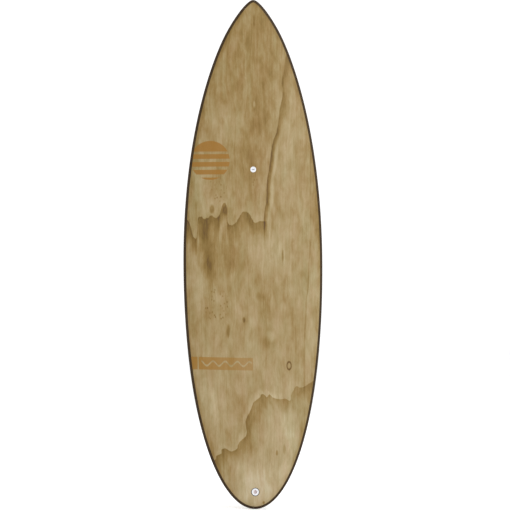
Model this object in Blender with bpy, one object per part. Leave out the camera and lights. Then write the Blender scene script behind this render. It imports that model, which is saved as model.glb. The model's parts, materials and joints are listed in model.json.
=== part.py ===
"""A 6'2" surfboard with a foam core, wood skins, laminated rails, two plugs and three removable fins.

World frame, in metres: Z runs from the tail (0) to the nose, X runs across the board, and the deck
faces -Y. The origin is the end of the tail, on the centreline. "Height" below means the distance
from the flat that the bottom would rest on, measured towards the deck, so a height is turned into
a world position by world_point().
"""
import math

import bmesh
import bpy
from mathutils import Matrix, Vector

# ---------------------------------------------------------------- driving dimensions

LENGTH = 1.880
HALF_WIDTH = 0.2589
WIDE_POINT = 0.906        # distance from the tail to the widest station
GAP = 0.0003              # clearance between two neighbouring pieces
CUT_REACH = 0.010         # how far a cutting body passes beyond the surface that it opens
SLOPE_STEP = 0.001        # half the distance over which a surface's slope is taken

# The right-hand half of the outline, (x, z), as three Bezier stretches from the tail to the nose.
OUTLINE = (
    ((0.0, 0.0), (0.1276, 0.0), (HALF_WIDTH, 0.307), (HALF_WIDTH, WIDE_POINT)),
    ((HALF_WIDTH, WIDE_POINT), (HALF_WIDTH, 1.3885), (0.1481, 1.6587), (0.1104, 1.7381)),
    ((0.1104, 1.7381), (0.0823, 1.7972), (0.0260, LENGTH), (0.0, LENGTH)),
)
ROWS_PER_STRETCH = (10, 7, 6)
ROW_MARGIN = 0.02         # rows closer than this to an end of a piece are left out
END_MARGIN = 0.001        # the normal is taken this far from an end of the outline

FLAT_POINT = 0.850        # station where the bottom touches the flat
NOSE_LIFT = 0.125
TAIL_LIFT = 0.057
NOSE_ROCKER_POWER = 2.4
TAIL_ROCKER_POWER = 2.2
CONCAVE_DEPTH = 0.003
CONCAVE_SHARE = 0.75      # share of the half width that the concave spans

THICK_POINT = 0.960       # station of the greatest thickness
THICKNESS = 0.067
NOSE_THICKNESS = 0.013
TAIL_THICKNESS = 0.018
TAIL_FOIL_POWER = 0.85
NOSE_ROUND = 0.011        # lengths over which the two ends are rounded in side view
TAIL_ROUND = 0.026
RAIL_LOW = 0.34           # rail apex as a share of the thickness, at the tail and at the nose
RAIL_HIGH = 0.50
DECK_CROWN = (2.4, 0.526) # powers of the deck's and the bottom's cross sections
BOTTOM_CROWN = (8.0, 0.5)

SKIN = 0.0025             # thickness of the wood skins
BAND = 0.0096             # width of the dark outer rail band
CORE_EDGE = 0.0213        # from the outline to the foam core
BAND_OFFSETS = [BAND * (1 - math.cos(math.radians(a))) for a in (90, 67.5, 45, 22.5, 0)]
RAIL_OFFSETS = [0.0210, 0.0168, 0.0130, BAND + GAP]
SKIN_OFFSETS = [0.02115] + RAIL_OFFSETS[1:]
CENTRE_SHARES = [0.0, 0.33, 0.62, 0.85]
TAIL_JOINT = 0.0815       # where the tail block and the nose block meet the core
NOSE_JOINT = 1.8100

LEASH_STATION = 0.0635
VENT_STATION = 1.257
ROUND_SIDES = 28          # sides of the round pieces and of the holes they fit
THIN_SIDES = 12           # sides of the thin rods and set screws
SMOOTH_ANGLE = 35         # degrees; sharper edges than this stay crisp

LEASH_RIM = 0.0133
LEASH_BODY = 0.0122
LEASH_CAVITY = 0.0070
LEASH_CHAMFER = 0.0006    # round the mouth of the cavity
LEASH_DEPTH = 0.0160
LEASH_FLOOR = 0.0025
COLLAR_INNER = LEASH_RIM + GAP
COLLAR_OUTER = 0.0156
COLLAR_DROP = 0.0001      # the resin has shrunk this far below the deck
LEASH_BAR = 0.0016        # radius of the cross bar
LEASH_BAR_DEPTH = 0.0052
LEASH_BAR_REACH = 0.0118

VENT_FLANGE = 0.0106
VENT_STEM = 0.0070
VENT_DEPTH = 0.0220
VENT_HEAD = 0.0052
VENT_HEAD_DEPTH = 0.0024
VENT_SHANK = 0.0040
VENT_SHANK_END = 0.0150
VENT_POINT = 0.0008       # chamfer of the screw's end
VENT_HEAD_EDGE = 0.0003   # chamfer of the screw's head
VENT_SEAL = 0.0009        # thickness of the sealing ring
VENT_SEAL_INNER = 0.0045
VENT_SLOT = (0.0080, 0.0020, 0.0012)

FIN_BASE = 0.112
FIN_DEPTH = 0.115
FIN_THICKNESS = 0.0070
FIN_FRONT = (0.040, 0.100, 3.2)   # how far the front edge falls back with the rise, and its curve
FIN_BACK = (0.012, 0.044, 2.8)    # the same for the back edge, which first moves ahead
FIN_TAPER = 0.86          # share of the thickness that is lost between the base and the tip
FIN_EDGE = 0.0003         # half thickness of the front and back edges
FIN_BIAS = 0.32           # share of a side fin's thickness moved to its outer face
FIN_RISES = (0, 0.16, 0.33, 0.5, 0.66, 0.8, 0.91, 1)
FIN_PLACES = (0.0, 0.025, 0.09, 0.2, 0.36, 0.56, 0.78, 1.0)
FIN_REAR_CENTRE = 0.095   # from the tail to the back of the fin's base
FIN_REAR_SIDE = 0.280
FIN_FROM_RAIL = 0.038
FIN_TOE = math.radians(3.0)
FIN_CANT = math.radians(3.0)
FIN_LIFT = 0.00035        # from the board's bottom to the underside of the fin's foot
BLADE_START = 0.0004      # the blade grows out of the foot, this far above its underside
FOOT_HEIGHT = 0.0015
FOOT_SIZE = (0.0080, 0.116)
FOOT_CORNER = 0.0039
TAB_SPREAD = 0.028        # from the middle of the fin to the middle of a tab
TAB_SIZE = (0.0058, 0.0256, 0.0135)
TAB_CLEARANCE = 0.0004
TAB_ROOM = 0.0145         # depth of the slots that take the tabs
TABS = (("front", TAB_SPREAD), ("rear", -TAB_SPREAD))

BOX_SIZE = (0.0250, 0.128, 0.0170)
BOX_CORNER = 0.0060
BOX_DROP = 0.00005        # the box sits this far below the bottom's surface
INSERT_MARGIN = 0.0040    # dense foam left round a fin box
THROUGH = 0.080           # passes right through the board from either face
GRUB_ANGLE = math.radians(30.0)
GRUB_START = 0.0082       # from the tab's middle to the screw's axis, at the box's face
GRUB_RADIUS = 0.0023
GRUB_TIP_RADIUS = 0.0012
GRUB_SPAN = (0.0009, 0.0060, 0.0073)   # head, shoulder and tip, along the screw's axis
GRUB_SOCKET = 0.00125     # half the width across the flats of the hexagon
GRUB_SOCKET_DEPTH = 0.0025
GRUB_BORE = (-0.0085, 0.0030)          # ends of the screw's bore, along its axis


# ---------------------------------------------------------------- the board's form

def bezier(points, t):
    """Point on a cubic Bezier curve."""
    weights = ((1 - t) ** 3, 3 * t * (1 - t) ** 2, 3 * t * t * (1 - t), t ** 3)
    return Vector([sum(w * p[k] for w, p in zip(weights, points)) for k in (0, 1)])


def bezier_direction(points, t):
    """Direction of travel along a cubic Bezier curve."""
    weights = ((1 - t) ** 2, 2 * t * (1 - t), t * t)
    steps = [Vector(b) - Vector(a) for a, b in zip(points, points[1:])]
    return sum((w * s for w, s in zip(weights, steps)), Vector((0, 0))).normalized()


def outline(s):
    """Point and inward normal of the right-hand outline, s from 0 at the tail to 3 at the nose."""
    stretch = min(int(s), len(OUTLINE) - 1)
    along = bezier_direction(OUTLINE[stretch], s - stretch)
    return bezier(OUTLINE[stretch], s - stretch), Vector((-along.y, along.x))


def bisect(function, low, high):
    """Argument at which a rising function reaches zero."""
    for _ in range(50):
        middle = (low + high) / 2
        if function(middle) < 0:
            low = middle
        else:
            high = middle
    return (low + high) / 2


def half_width(z):
    """Half width of the board at a station."""
    return outline(bisect(lambda s: outline(s)[0].y - z, 0.0, 3.0))[0].x


def rocker(z):
    """Height of the bottom on the centreline, without the concave."""
    if z > FLAT_POINT:
        return NOSE_LIFT * ((z - FLAT_POINT) / (LENGTH - FLAT_POINT)) ** NOSE_ROCKER_POWER
    return TAIL_LIFT * ((FLAT_POINT - z) / FLAT_POINT) ** TAIL_ROCKER_POWER


def rounded_end(distance, length):
    """Share of the full thickness at a distance from one end of the board."""
    share = min(max(distance / length, 0.0), 1.0)
    return math.sqrt(1 - (1 - share) ** 2)


def foil_thickness(z):
    """Thickness on the centreline, before the two ends are rounded."""
    if z > THICK_POINT:
        share = math.cos(math.pi / 2 * (z - THICK_POINT) / (LENGTH - THICK_POINT))
        return NOSE_THICKNESS + (THICKNESS - NOSE_THICKNESS) * share
    share = math.cos(math.pi / 2 * (THICK_POINT - z) / THICK_POINT)
    return TAIL_THICKNESS + (THICKNESS - TAIL_THICKNESS) * max(share, 0.0) ** TAIL_FOIL_POWER


def thickness(z):
    """Thickness of the board on the centreline."""
    return foil_thickness(z) * rounded_end(z, TAIL_ROUND) * rounded_end(LENGTH - z, NOSE_ROUND)


def apex_share(z):
    """Rail apex as a share of the thickness."""
    return RAIL_LOW + (RAIL_HIGH - RAIL_LOW) * z / LENGTH


def apex_height(z):
    """Height of the rail's outermost line."""
    return rocker(z) + apex_share(z) * foil_thickness(z)


def crown(u, powers):
    """Share of the full height of one face, u from 0 on the centreline to 1 at the rail."""
    return max(1 - min(abs(u), 1.0) ** powers[0], 0.0) ** powers[1]


def across(x, z):
    """Place across the board as a share of the half width."""
    width = half_width(z)
    return min(abs(x) / width, 1.0) if width > 1e-9 else 0.0


def deck_height(x, z):
    """Height of the deck."""
    return apex_height(z) + (1 - apex_share(z)) * thickness(z) * crown(across(x, z), DECK_CROWN)


def bottom_height(x, z):
    """Height of the bottom, with a shallow concave between the rails."""
    u = across(x, z)
    face = apex_height(z) - apex_share(z) * thickness(z) * crown(u, BOTTOM_CROWN)
    hollow = max(1 - (u / CONCAVE_SHARE) ** 2, 0.0) ** 2
    return face + CONCAVE_DEPTH * math.sin(math.pi * z / LENGTH) ** 2 * hollow


END_HEIGHT = apex_height(0.0)


def world_point(x, z, height):
    """World position of a point given by its plan position and its height."""
    return Vector((x, END_HEIGHT - height, z))


# ---------------------------------------------------------------- the plan lattice

def reach(s):
    """Distance from the outline to the centreline, along the outline's normal."""
    point, normal = outline(min(max(s, END_MARGIN), len(OUTLINE) - END_MARGIN))
    return -point.x / normal.x if normal.x < -1e-6 else math.inf


def inset(s, offset):
    """Plan point at a distance inside the outline; near the nose the offsets close up."""
    room = reach(s)
    if room < CORE_EDGE and offset > BAND:
        offset = BAND + (offset - BAND) * (room - BAND) / (CORE_EDGE - BAND)
    point, normal = outline(s)
    place = point + normal * offset
    return Vector((max(place.x, 0.0), place.y))


def station_row(z):
    """Outline parameter whose lattice row crosses the centreline at station z."""
    return bisect(lambda s: inset(s, CORE_EDGE).y - z, 0.0, 3.0)


def half_row(s, offsets, shares):
    """Plan points from the centreline out to the right-hand edge."""
    edge = [inset(s, offset) for offset in offsets]
    centre = [Vector((share * edge[0].x, edge[0].y)) for share in shares]
    return centre + edge


def full_row(s, offsets, shares):
    """Plan points from the left-hand edge to the right-hand edge."""
    right = half_row(s, offsets, shares)
    left = [Vector((-p.x, p.y)) for p in reversed(right[1:])]
    return left + right


def rail_row(s, offsets, side):
    """Plan points across one rail strip, in order of rising x, kept clear of the centreline."""
    row = [inset(s, offset) for offset in offsets]
    row = [Vector((side * max(p.x, GAP / 2), p.y)) for p in row]
    return row if side > 0 else row[::-1]


def lattice_stations(low, high):
    """Outline parameters of the lattice's rows between two of them."""
    steps = []
    for stretch, count in enumerate(ROWS_PER_STRETCH):
        steps += [stretch + k / count for k in range(count)]
    steps.append(float(len(ROWS_PER_STRETCH)))
    inner = [s for s in steps if low + ROW_MARGIN < s < high - ROW_MARGIN]
    return [low] + inner + [high]


def whole_length_stations():
    """Rows of a piece that runs from tail to nose, with rows where the end blocks meet the core."""
    joints = [0.0, station_row(TAIL_JOINT), station_row(NOSE_JOINT), 3.0]
    steps = [0.0]
    for low, high in zip(joints, joints[1:]):
        steps += lattice_stations(low, high)[1:]
    return steps


# ---------------------------------------------------------------- mesh helpers

def material(name, colour, roughness, metallic=0.0):
    """Principled material from an sRGB colour."""
    made = bpy.data.materials.new(name)
    made.use_nodes = True
    shader = made.node_tree.nodes["Principled BSDF"]
    linear = [((c + 0.055) / 1.055) ** 2.4 if c > 0.04045 else c / 12.92 for c in colour]
    shader.inputs["Base Color"].default_value = (*linear, 1.0)
    shader.inputs["Roughness"].default_value = roughness
    shader.inputs["Metallic"].default_value = metallic
    made.diffuse_color = (*linear, 1.0)
    return made


def add_object(name, mesh, look=None, parent=None):
    """Links a new object to the scene."""
    made = bpy.data.objects.new(name, mesh)
    if look is not None and not mesh.materials:
        mesh.materials.append(look)
    bpy.context.scene.collection.objects.link(made)
    made.parent = parent
    return made


def finished_mesh(name, bm, smooth_angle=None):
    """Mesh made from a bmesh, with coincident points joined and the faces turned outwards."""
    bmesh.ops.remove_doubles(bm, verts=bm.verts, dist=1e-6)
    bmesh.ops.recalc_face_normals(bm, faces=bm.faces)
    mesh = bpy.data.meshes.new(name)
    bm.to_mesh(mesh)
    bm.free()
    if smooth_angle is not None:
        mesh.shade_smooth()
        mesh.set_sharp_from_angle(angle=math.radians(smooth_angle))
    return mesh


def add_triangles(bm, quad):
    """Two triangles over a quad, always split along the same diagonal."""
    a, b, c, d = quad
    for corners in ((a, b, c), (a, c, d)):
        places = {tuple(round(x, 7) for x in v.co) for v in corners}
        if len(places) == 3:
            bm.faces.new(corners)


def slab_mesh(name, rows, top_height, bottom_height_of, closed_ends):
    """Closed solid between two height fields over a lattice of plan points."""
    bm = bmesh.new()
    faces = []
    for height_of in (top_height, bottom_height_of):
        points = [[world_point(p.x, p.y, height_of(p.x, p.y)) for p in row] for row in rows]
        faces.append([[bm.verts.new(point) for point in row] for row in points])
    top, bottom = faces
    last = len(rows) - 1
    end = len(rows[0]) - 1
    for grid in faces:
        for i in range(last):
            for j in range(end):
                add_triangles(bm, (grid[i][j], grid[i][j + 1], grid[i + 1][j + 1], grid[i + 1][j]))
    for i in range(last):
        for j in (0, end):
            add_triangles(bm, (top[i][j], top[i + 1][j], bottom[i + 1][j], bottom[i][j]))
    for i, closed in zip((0, last), closed_ends):
        for j in range(end if closed else 0):
            add_triangles(bm, (top[i][j], top[i][j + 1], bottom[i][j + 1], bottom[i][j]))
    return finished_mesh(name, bm, SMOOTH_ANGLE)


def loft_mesh(name, loops, smooth_angle=None):
    """Closed solid through a list of loops with equal numbers of points, capped at both ends."""
    bm = bmesh.new()
    rings = [[bm.verts.new(p) for p in loop] for loop in loops]
    count = len(loops[0])
    for ring, following in zip(rings, rings[1:]):
        for k in range(count):
            n = (k + 1) % count
            bm.faces.new((ring[k], ring[n], following[n], following[k]))
    bm.faces.new(rings[0])
    bm.faces.new(rings[-1])
    return finished_mesh(name, bm, smooth_angle)


def circle(radius, z, sides=ROUND_SIDES):
    """Points of a regular polygon round the local Z axis."""
    steps = [2 * math.pi * k / sides for k in range(sides)]
    return [Vector((radius * math.cos(a), radius * math.sin(a), z)) for a in steps]


def turned_mesh(name, profile, sides=ROUND_SIDES):
    """Solid turned about the local Z axis; a profile that leaves out the axis makes a ring."""
    bm = bmesh.new()
    rings = [[bm.verts.new(p) for p in circle(radius, z, sides)] for radius, z in profile]
    on_axis = profile[0][0] == 0.0
    pairs = list(zip(rings, rings[1:]))
    if not on_axis:
        pairs.append((rings[-1], rings[0]))
    for ring, following in pairs:
        for k in range(sides):
            n = (k + 1) % sides
            bm.faces.new((ring[k], ring[n], following[n], following[k]))
    return finished_mesh(name, bm, SMOOTH_ANGLE)


def rounded_loop(width, length, corner, z, steps=4):
    """Rounded rectangle in a plane of constant local z."""
    points = []
    for turn, (sx, sy) in enumerate(((1, 1), (-1, 1), (-1, -1), (1, -1))):
        middle = Vector((sx * (width / 2 - corner), sy * (length / 2 - corner), z))
        for k in range(steps + 1):
            angle = math.pi / 2 * (turn + k / steps)
            points.append(middle + corner * Vector((math.cos(angle), math.sin(angle), 0)))
    return points


def block_mesh(name, size, low, high, centre=(0.0, 0.0)):
    """Plain box between two local heights."""
    x, y = size[0] / 2, size[1] / 2
    corners = ((x, y), (-x, y), (-x, -y), (x, -y))
    loops = [[Vector((centre[0] + a, centre[1] + b, z)) for a, b in corners] for z in (low, high)]
    return loft_mesh(name, loops)


def guide(name, mesh, parent=None):
    """Tool body that cuts or joins, and isn't a piece of the board."""
    made = add_object(name, mesh, parent=parent)
    made.hide_render = True
    made.display_type = "WIRE"
    return made


def combine(target, tool, operation="DIFFERENCE"):
    """Boolean modifier with a tool body."""
    step = target.modifiers.new(tool.name, "BOOLEAN")
    step.object = tool
    step.operation = operation
    step.solver = "EXACT"


def surface_axis(name, height_of, outward, x, z, toe=0.0):
    """Empty on the board's surface: local Z points out of it, and local Y towards the nose."""
    step = SLOPE_STEP
    slope_x = (height_of(x + step, z) - height_of(x - step, z)) / (2 * step)
    slope_z = (height_of(x, z + step) - height_of(x, z - step)) / (2 * step)
    ahead = Vector((math.sin(toe), -(slope_x * math.sin(toe) + slope_z * math.cos(toe)), math.cos(toe)))
    normal = outward * Vector((-slope_x, -1.0, -slope_z))
    forward, normal = ahead.normalized(), normal.normalized()
    axes = Matrix((forward.cross(normal), forward, normal)).transposed().to_4x4()
    made = bpy.data.objects.new(name, None)
    made.empty_display_size = 0.02
    made.matrix_world = Matrix.Translation(world_point(x, z, height_of(x, z))) @ axes
    bpy.context.scene.collection.objects.link(made)
    return made


# ---------------------------------------------------------------- skins, rails and core

def deck_inside(x, z):
    """Height of the wood and foam under the deck skin."""
    return deck_height(x, z) - SKIN - GAP


def bottom_inside(x, z):
    """Height of the wood and foam over the bottom skin."""
    return bottom_height(x, z) + SKIN + GAP


def deck_glue_face(x, z):
    """Height of the underside of the deck skin."""
    return deck_height(x, z) - SKIN


def bottom_glue_face(x, z):
    """Height of the inner face of the bottom skin."""
    return bottom_height(x, z) + SKIN


def make_skins(deck_look, bottom_look):
    """The two wood skins, each over the whole board inside the rail bands."""
    rows = [full_row(s, SKIN_OFFSETS, CENTRE_SHARES) for s in whole_length_stations()]
    folded = (False, False)
    deck = slab_mesh("deck_skin", rows, deck_height, deck_glue_face, folded)
    bottom = slab_mesh("bottom_skin", rows, bottom_glue_face, bottom_height, folded)
    return add_object("deck_skin", deck, deck_look), add_object("bottom_skin", bottom, bottom_look)


def make_rails(band_look, strip_look):
    """The dark outer bands, tail to nose, and the pale strips between the two end blocks."""
    band_stations = whole_length_stations()
    strip_stations = lattice_stations(station_row(TAIL_JOINT), station_row(NOSE_JOINT))
    for side, word in ((-1, "left"), (1, "right")):
        rows = [rail_row(s, BAND_OFFSETS, side) for s in band_stations]
        band = slab_mesh("rail_band_" + word, rows, deck_height, bottom_height, (True, True))
        add_object("rail_band_" + word, band, band_look)
        rows = [rail_row(s, RAIL_OFFSETS, side) for s in strip_stations]
        strip = slab_mesh("rail_strip_" + word, rows, deck_inside, bottom_inside, (True, True))
        add_object("rail_strip_" + word, strip, strip_look)


def make_end_blocks(look):
    """Solid wood between the skins at the tail and at the nose."""
    tail_stations = lattice_stations(0.0, station_row(TAIL_JOINT - GAP))
    rows = [full_row(s, SKIN_OFFSETS, CENTRE_SHARES) for s in tail_stations]
    tail = slab_mesh("tail_block", rows, deck_inside, bottom_inside, (False, True))
    nose_stations = lattice_stations(station_row(NOSE_JOINT + GAP), 3.0)
    rows = [full_row(s, SKIN_OFFSETS, CENTRE_SHARES) for s in nose_stations]
    nose = slab_mesh("nose_block", rows, deck_inside, bottom_inside, (True, False))
    add_object("nose_block", nose, look)
    return add_object("tail_block", tail, look)


def core_mesh(name):
    """Foam between the skins, the rail strips and the end blocks."""
    stations = lattice_stations(station_row(TAIL_JOINT), station_row(NOSE_JOINT))
    rows = [full_row(s, [CORE_EDGE], CENTRE_SHARES) for s in stations]
    return slab_mesh(name, rows, deck_inside, bottom_inside, (True, True))


# ---------------------------------------------------------------- leash plug

def round_guide(name, radius, low, high, parent):
    """Cylindrical tool body round the local Z axis."""
    return guide(name, loft_mesh(name, [circle(radius, low), circle(radius, high)]), parent)


def make_leash_plug(axis, deck, tail_block, plastic, resin, steel):
    """Cup with a cross bar, set in a resin collar."""
    profile = (
        (0.0, -LEASH_DEPTH), (LEASH_BODY, -LEASH_DEPTH), (LEASH_BODY, -SKIN), (LEASH_RIM, -SKIN),
        (LEASH_RIM, 0.0), (LEASH_CAVITY + LEASH_CHAMFER, 0.0), (LEASH_CAVITY, -LEASH_CHAMFER),
        (LEASH_CAVITY, LEASH_FLOOR - LEASH_DEPTH), (0.0, LEASH_FLOOR - LEASH_DEPTH),
    )
    cup = add_object("leash_plug_cup", turned_mesh("leash_plug_cup", profile), plastic, axis)
    combine(cup, cross_rod_guide(axis))
    radii = (COLLAR_INNER, COLLAR_OUTER, COLLAR_OUTER, COLLAR_INNER)
    ring = list(zip(radii, (-SKIN, -SKIN, -COLLAR_DROP, -COLLAR_DROP)))
    add_object("leash_plug_collar", turned_mesh("leash_plug_collar", ring), resin, axis)
    bar = cross_rod("leash_plug_bar", LEASH_BAR, LEASH_BAR_REACH)
    add_object("leash_plug_bar", bar, steel, axis)
    combine(deck, round_guide("cut_leash_deck", COLLAR_OUTER + GAP, -CUT_REACH, CUT_REACH, axis))
    pocket = round_guide("cut_leash_block", LEASH_BODY + GAP, -LEASH_DEPTH - GAP, CUT_REACH, axis)
    combine(tail_block, pocket)


def cross_rod(name, radius, half_length):
    """Rod along the local X axis, at the depth of the leash bar."""
    ring = [(p.x, p.y - LEASH_BAR_DEPTH) for p in circle(radius, 0.0, THIN_SIDES)]
    ends = [[Vector((x, a, b)) for a, b in ring] for x in (-half_length, half_length)]
    return loft_mesh(name, ends, SMOOTH_ANGLE)


def cross_rod_guide(axis):
    """Tool body for the bar's holes in the cup."""
    rod = cross_rod("cut_leash_bar", LEASH_BAR + GAP, LEASH_RIM + CUT_REACH)
    return guide("cut_leash_bar", rod, axis)


# ---------------------------------------------------------------- vent plug

def make_vent_plug(axis, deck, core, plastic, rubber):
    """Threaded vent body, its slotted screw and the ring that seals under the screw's head."""
    seat = VENT_HEAD_DEPTH + GAP + VENT_SEAL + GAP
    pocket = VENT_HEAD + GAP
    bore = VENT_SHANK + GAP
    body = (
        (VENT_FLANGE, -SKIN), (VENT_FLANGE, 0.0), (pocket, 0.0), (pocket, -seat), (bore, -seat),
        (bore, -VENT_DEPTH), (VENT_STEM, -VENT_DEPTH), (VENT_STEM, -SKIN),
    )
    add_object("vent_plug_body", turned_mesh("vent_plug_body", body), plastic, axis)
    screw = (
        (0.0, -VENT_SHANK_END), (VENT_SHANK - VENT_POINT, -VENT_SHANK_END),
        (VENT_SHANK, VENT_POINT - VENT_SHANK_END), (VENT_SHANK, -VENT_HEAD_DEPTH),
        (VENT_HEAD, -VENT_HEAD_DEPTH), (VENT_HEAD, -VENT_HEAD_EDGE), (VENT_HEAD - VENT_HEAD_EDGE, 0.0),
        (0.0, 0.0),
    )
    piece = add_object("vent_screw", turned_mesh("vent_screw", screw), plastic, axis)
    slot = block_mesh("cut_vent_slot", VENT_SLOT[:2], -VENT_SLOT[2], CUT_REACH)
    combine(piece, guide("cut_vent_slot", slot, axis))
    top = -VENT_HEAD_DEPTH - GAP
    low = top - VENT_SEAL
    ring = ((VENT_SEAL_INNER, low), (VENT_HEAD, low), (VENT_HEAD, top), (VENT_SEAL_INNER, top))
    add_object("vent_seal", turned_mesh("vent_seal", ring), rubber, axis)
    combine(deck, round_guide("cut_vent_deck", VENT_FLANGE + GAP, -CUT_REACH, CUT_REACH, axis))
    combine(core, round_guide("cut_vent_core", VENT_STEM + GAP, -VENT_DEPTH - CUT_REACH, CUT_REACH, axis))


# ---------------------------------------------------------------- fins and fin boxes

def foil(place):
    """Half thickness of a streamlined section of unit thickness, place from 0 (front) to 1."""
    curve = 2.969 * math.sqrt(place) - 1.26 * place - 3.516 * place ** 2
    return (curve + 2.843 * place ** 3 - 1.036 * place ** 4) / 2


def fin_section(rise, bias, outboard):
    """Loop of points round the blade at a share of its depth."""
    height = FIN_LIFT + BLADE_START + rise * FIN_DEPTH
    front = FIN_BASE / 2 - FIN_FRONT[0] * rise - FIN_FRONT[1] * rise ** FIN_FRONT[2]
    back = -FIN_BASE / 2 + FIN_BACK[0] * rise - FIN_BACK[1] * rise ** FIN_BACK[2]
    thick = FIN_THICKNESS * (1 - FIN_TAPER * rise)
    lean = outboard * (height * math.tan(FIN_CANT) * (bias > 0) - bias * FIN_THICKNESS)
    sides = []
    for sign in (1, -1):
        share = thick * (0.5 + sign * bias) * 2
        chord = [(foil(p) * share + FIN_EDGE, front + (back - front) * p) for p in FIN_PLACES]
        sides.append([Vector((outboard * sign * x + lean, y, height)) for x, y in chord])
    return sides[0] + sides[1][::-1]


def blade_mesh(name, bias, outboard):
    """Swept blade through sections at rising shares of its depth."""
    return loft_mesh(name, [fin_section(rise, bias, outboard) for rise in FIN_RISES], SMOOTH_ANGLE)


def grub_frame(along, inboard):
    """Matrix, in the box's frame, whose Z axis runs up the screw and out of the box."""
    outward = Vector((inboard * math.sin(GRUB_ANGLE), 0.0, math.cos(GRUB_ANGLE)))
    side = Vector((0.0, 1.0, 0.0))
    axes = Matrix((side.cross(outward), side, outward)).transposed().to_4x4()
    return Matrix.Translation((inboard * GRUB_START, along, 0.0)) @ axes


def grub_mesh():
    """Set screw with a cone point and a hexagon socket, its axis on local Z."""
    head, shoulder, tip = (-d for d in GRUB_SPAN)
    floor = head - GRUB_SOCKET_DEPTH
    loops = [circle(GRUB_TIP_RADIUS, tip, THIN_SIDES), circle(GRUB_RADIUS, shoulder, THIN_SIDES)]
    loops.append(circle(GRUB_RADIUS, head, THIN_SIDES))
    loops += [hexagon(head), hexagon(floor)]
    return loft_mesh("fin_screw", loops, SMOOTH_ANGLE)


def hexagon(z):
    """Outline of the socket, with a point at each corner and in the middle of each side."""
    corner = GRUB_SOCKET / math.cos(math.pi / 6)
    corners = circle(corner, z, THIN_SIDES)
    middles = circle(GRUB_SOCKET, z, THIN_SIDES)
    return [corners[k] if k % 2 == 0 else middles[k] for k in range(THIN_SIDES)]


def place_in(made, local):
    """Sets an object's place within its parent."""
    made.matrix_local = local
    return made


def make_fin(word, axis, side, outboard, composite):
    """One fin: its blade, its foot and its two tabs."""
    bias = FIN_BIAS if side else 0.0
    fin = add_object("fin_" + word, blade_mesh("fin_" + word, bias, outboard), composite, axis)
    foot = [rounded_loop(*FOOT_SIZE, FOOT_CORNER, z) for z in (FIN_LIFT, FIN_LIFT + FOOT_HEIGHT)]
    combine(fin, guide("join_foot_" + word, loft_mesh("join_foot_" + word, foot), axis), "UNION")
    for end, along in TABS:
        name = "join_tab_" + word + "_" + end
        top = FIN_LIFT + FOOT_HEIGHT / 2
        tab = block_mesh(name, TAB_SIZE[:2], -TAB_SIZE[2], top, (0.0, along))
        combine(fin, guide(name, tab, axis), "UNION")


def make_fin_box(word, axis, outboard, plastic, steel, screw_mesh):
    """The box that a fin's tabs slide into, and its two set screws."""
    width, length, depth = BOX_SIZE
    loops = [rounded_loop(width, length, BOX_CORNER, z) for z in (-depth, -BOX_DROP)]
    box = loft_mesh("fin_box_" + word, loops, SMOOTH_ANGLE)
    box = add_object("fin_box_" + word, box, plastic, axis)
    room = [size + 2 * TAB_CLEARANCE for size in TAB_SIZE[:2]]
    bore = [circle(GRUB_RADIUS + GAP, z, THIN_SIDES) for z in GRUB_BORE]
    for end, along in TABS:
        label = word + "_" + end
        slot = block_mesh("cut_tab_" + label, room, -TAB_ROOM, CUT_REACH, (0.0, along))
        combine(box, guide("cut_tab_" + label, slot, axis))
        frame = grub_frame(along, -outboard)
        hole = guide("cut_grub_" + label, loft_mesh("cut_grub_" + label, bore), axis)
        combine(box, place_in(hole, frame))
        place_in(add_object("fin_screw_" + label, screw_mesh, steel, axis), frame)


def box_guide(name, axis, grow, low, high):
    """Tool body with the outline of a fin box, grown on every side."""
    width, length = BOX_SIZE[0] + 2 * grow, BOX_SIZE[1] + 2 * grow
    loops = [rounded_loop(width, length, BOX_CORNER + grow, z) for z in (low, high)]
    return guide(name, loft_mesh(name, loops), axis)


def make_fin_insert(word, axis, core, core_source, bottom, dense_foam):
    """The dense foam that a fin box is bedded in, and the openings for both."""
    insert = add_object("fin_insert_" + word, core_source.copy())
    insert.data.materials.clear()
    insert.data.materials.append(dense_foam)
    floor = -BOX_SIZE[2] - GAP
    keep = box_guide("keep_insert_" + word, axis, INSERT_MARGIN, -THROUGH, THROUGH)
    combine(insert, keep, "INTERSECT")
    combine(insert, box_guide("cut_pocket_" + word, axis, GAP, floor, THROUGH))
    combine(core, box_guide("cut_insert_" + word, axis, INSERT_MARGIN + GAP, -THROUGH, THROUGH))
    combine(bottom, box_guide("cut_skin_" + word, axis, GAP, -CUT_REACH, CUT_REACH))


def fin_axes():
    """Frames of the centre fin and of the two side fins on the bottom."""
    middle = FIN_REAR_CENTRE + FIN_BASE / 2
    frames = [("centre", 0, surface_axis("fin_axis_centre", bottom_height, -1.0, 0.0, middle))]
    rear = half_width(FIN_REAR_SIDE) - FIN_FROM_RAIL
    across_middle = rear - FIN_BASE / 2 * math.sin(FIN_TOE)
    along_middle = FIN_REAR_SIDE + FIN_BASE / 2 * math.cos(FIN_TOE)
    for word, side in (("left", -1), ("right", 1)):
        name = "fin_axis_" + word
        place = (side * across_middle, along_middle)
        frames.append((word, side, surface_axis(name, bottom_height, -1.0, *place, toe=-side * FIN_TOE)))
    return frames


# ---------------------------------------------------------------- assembly

def clear_scene():
    """Removes everything that the scene holds."""
    for old in list(bpy.data.objects):
        bpy.data.objects.remove(old, do_unlink=True)


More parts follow.
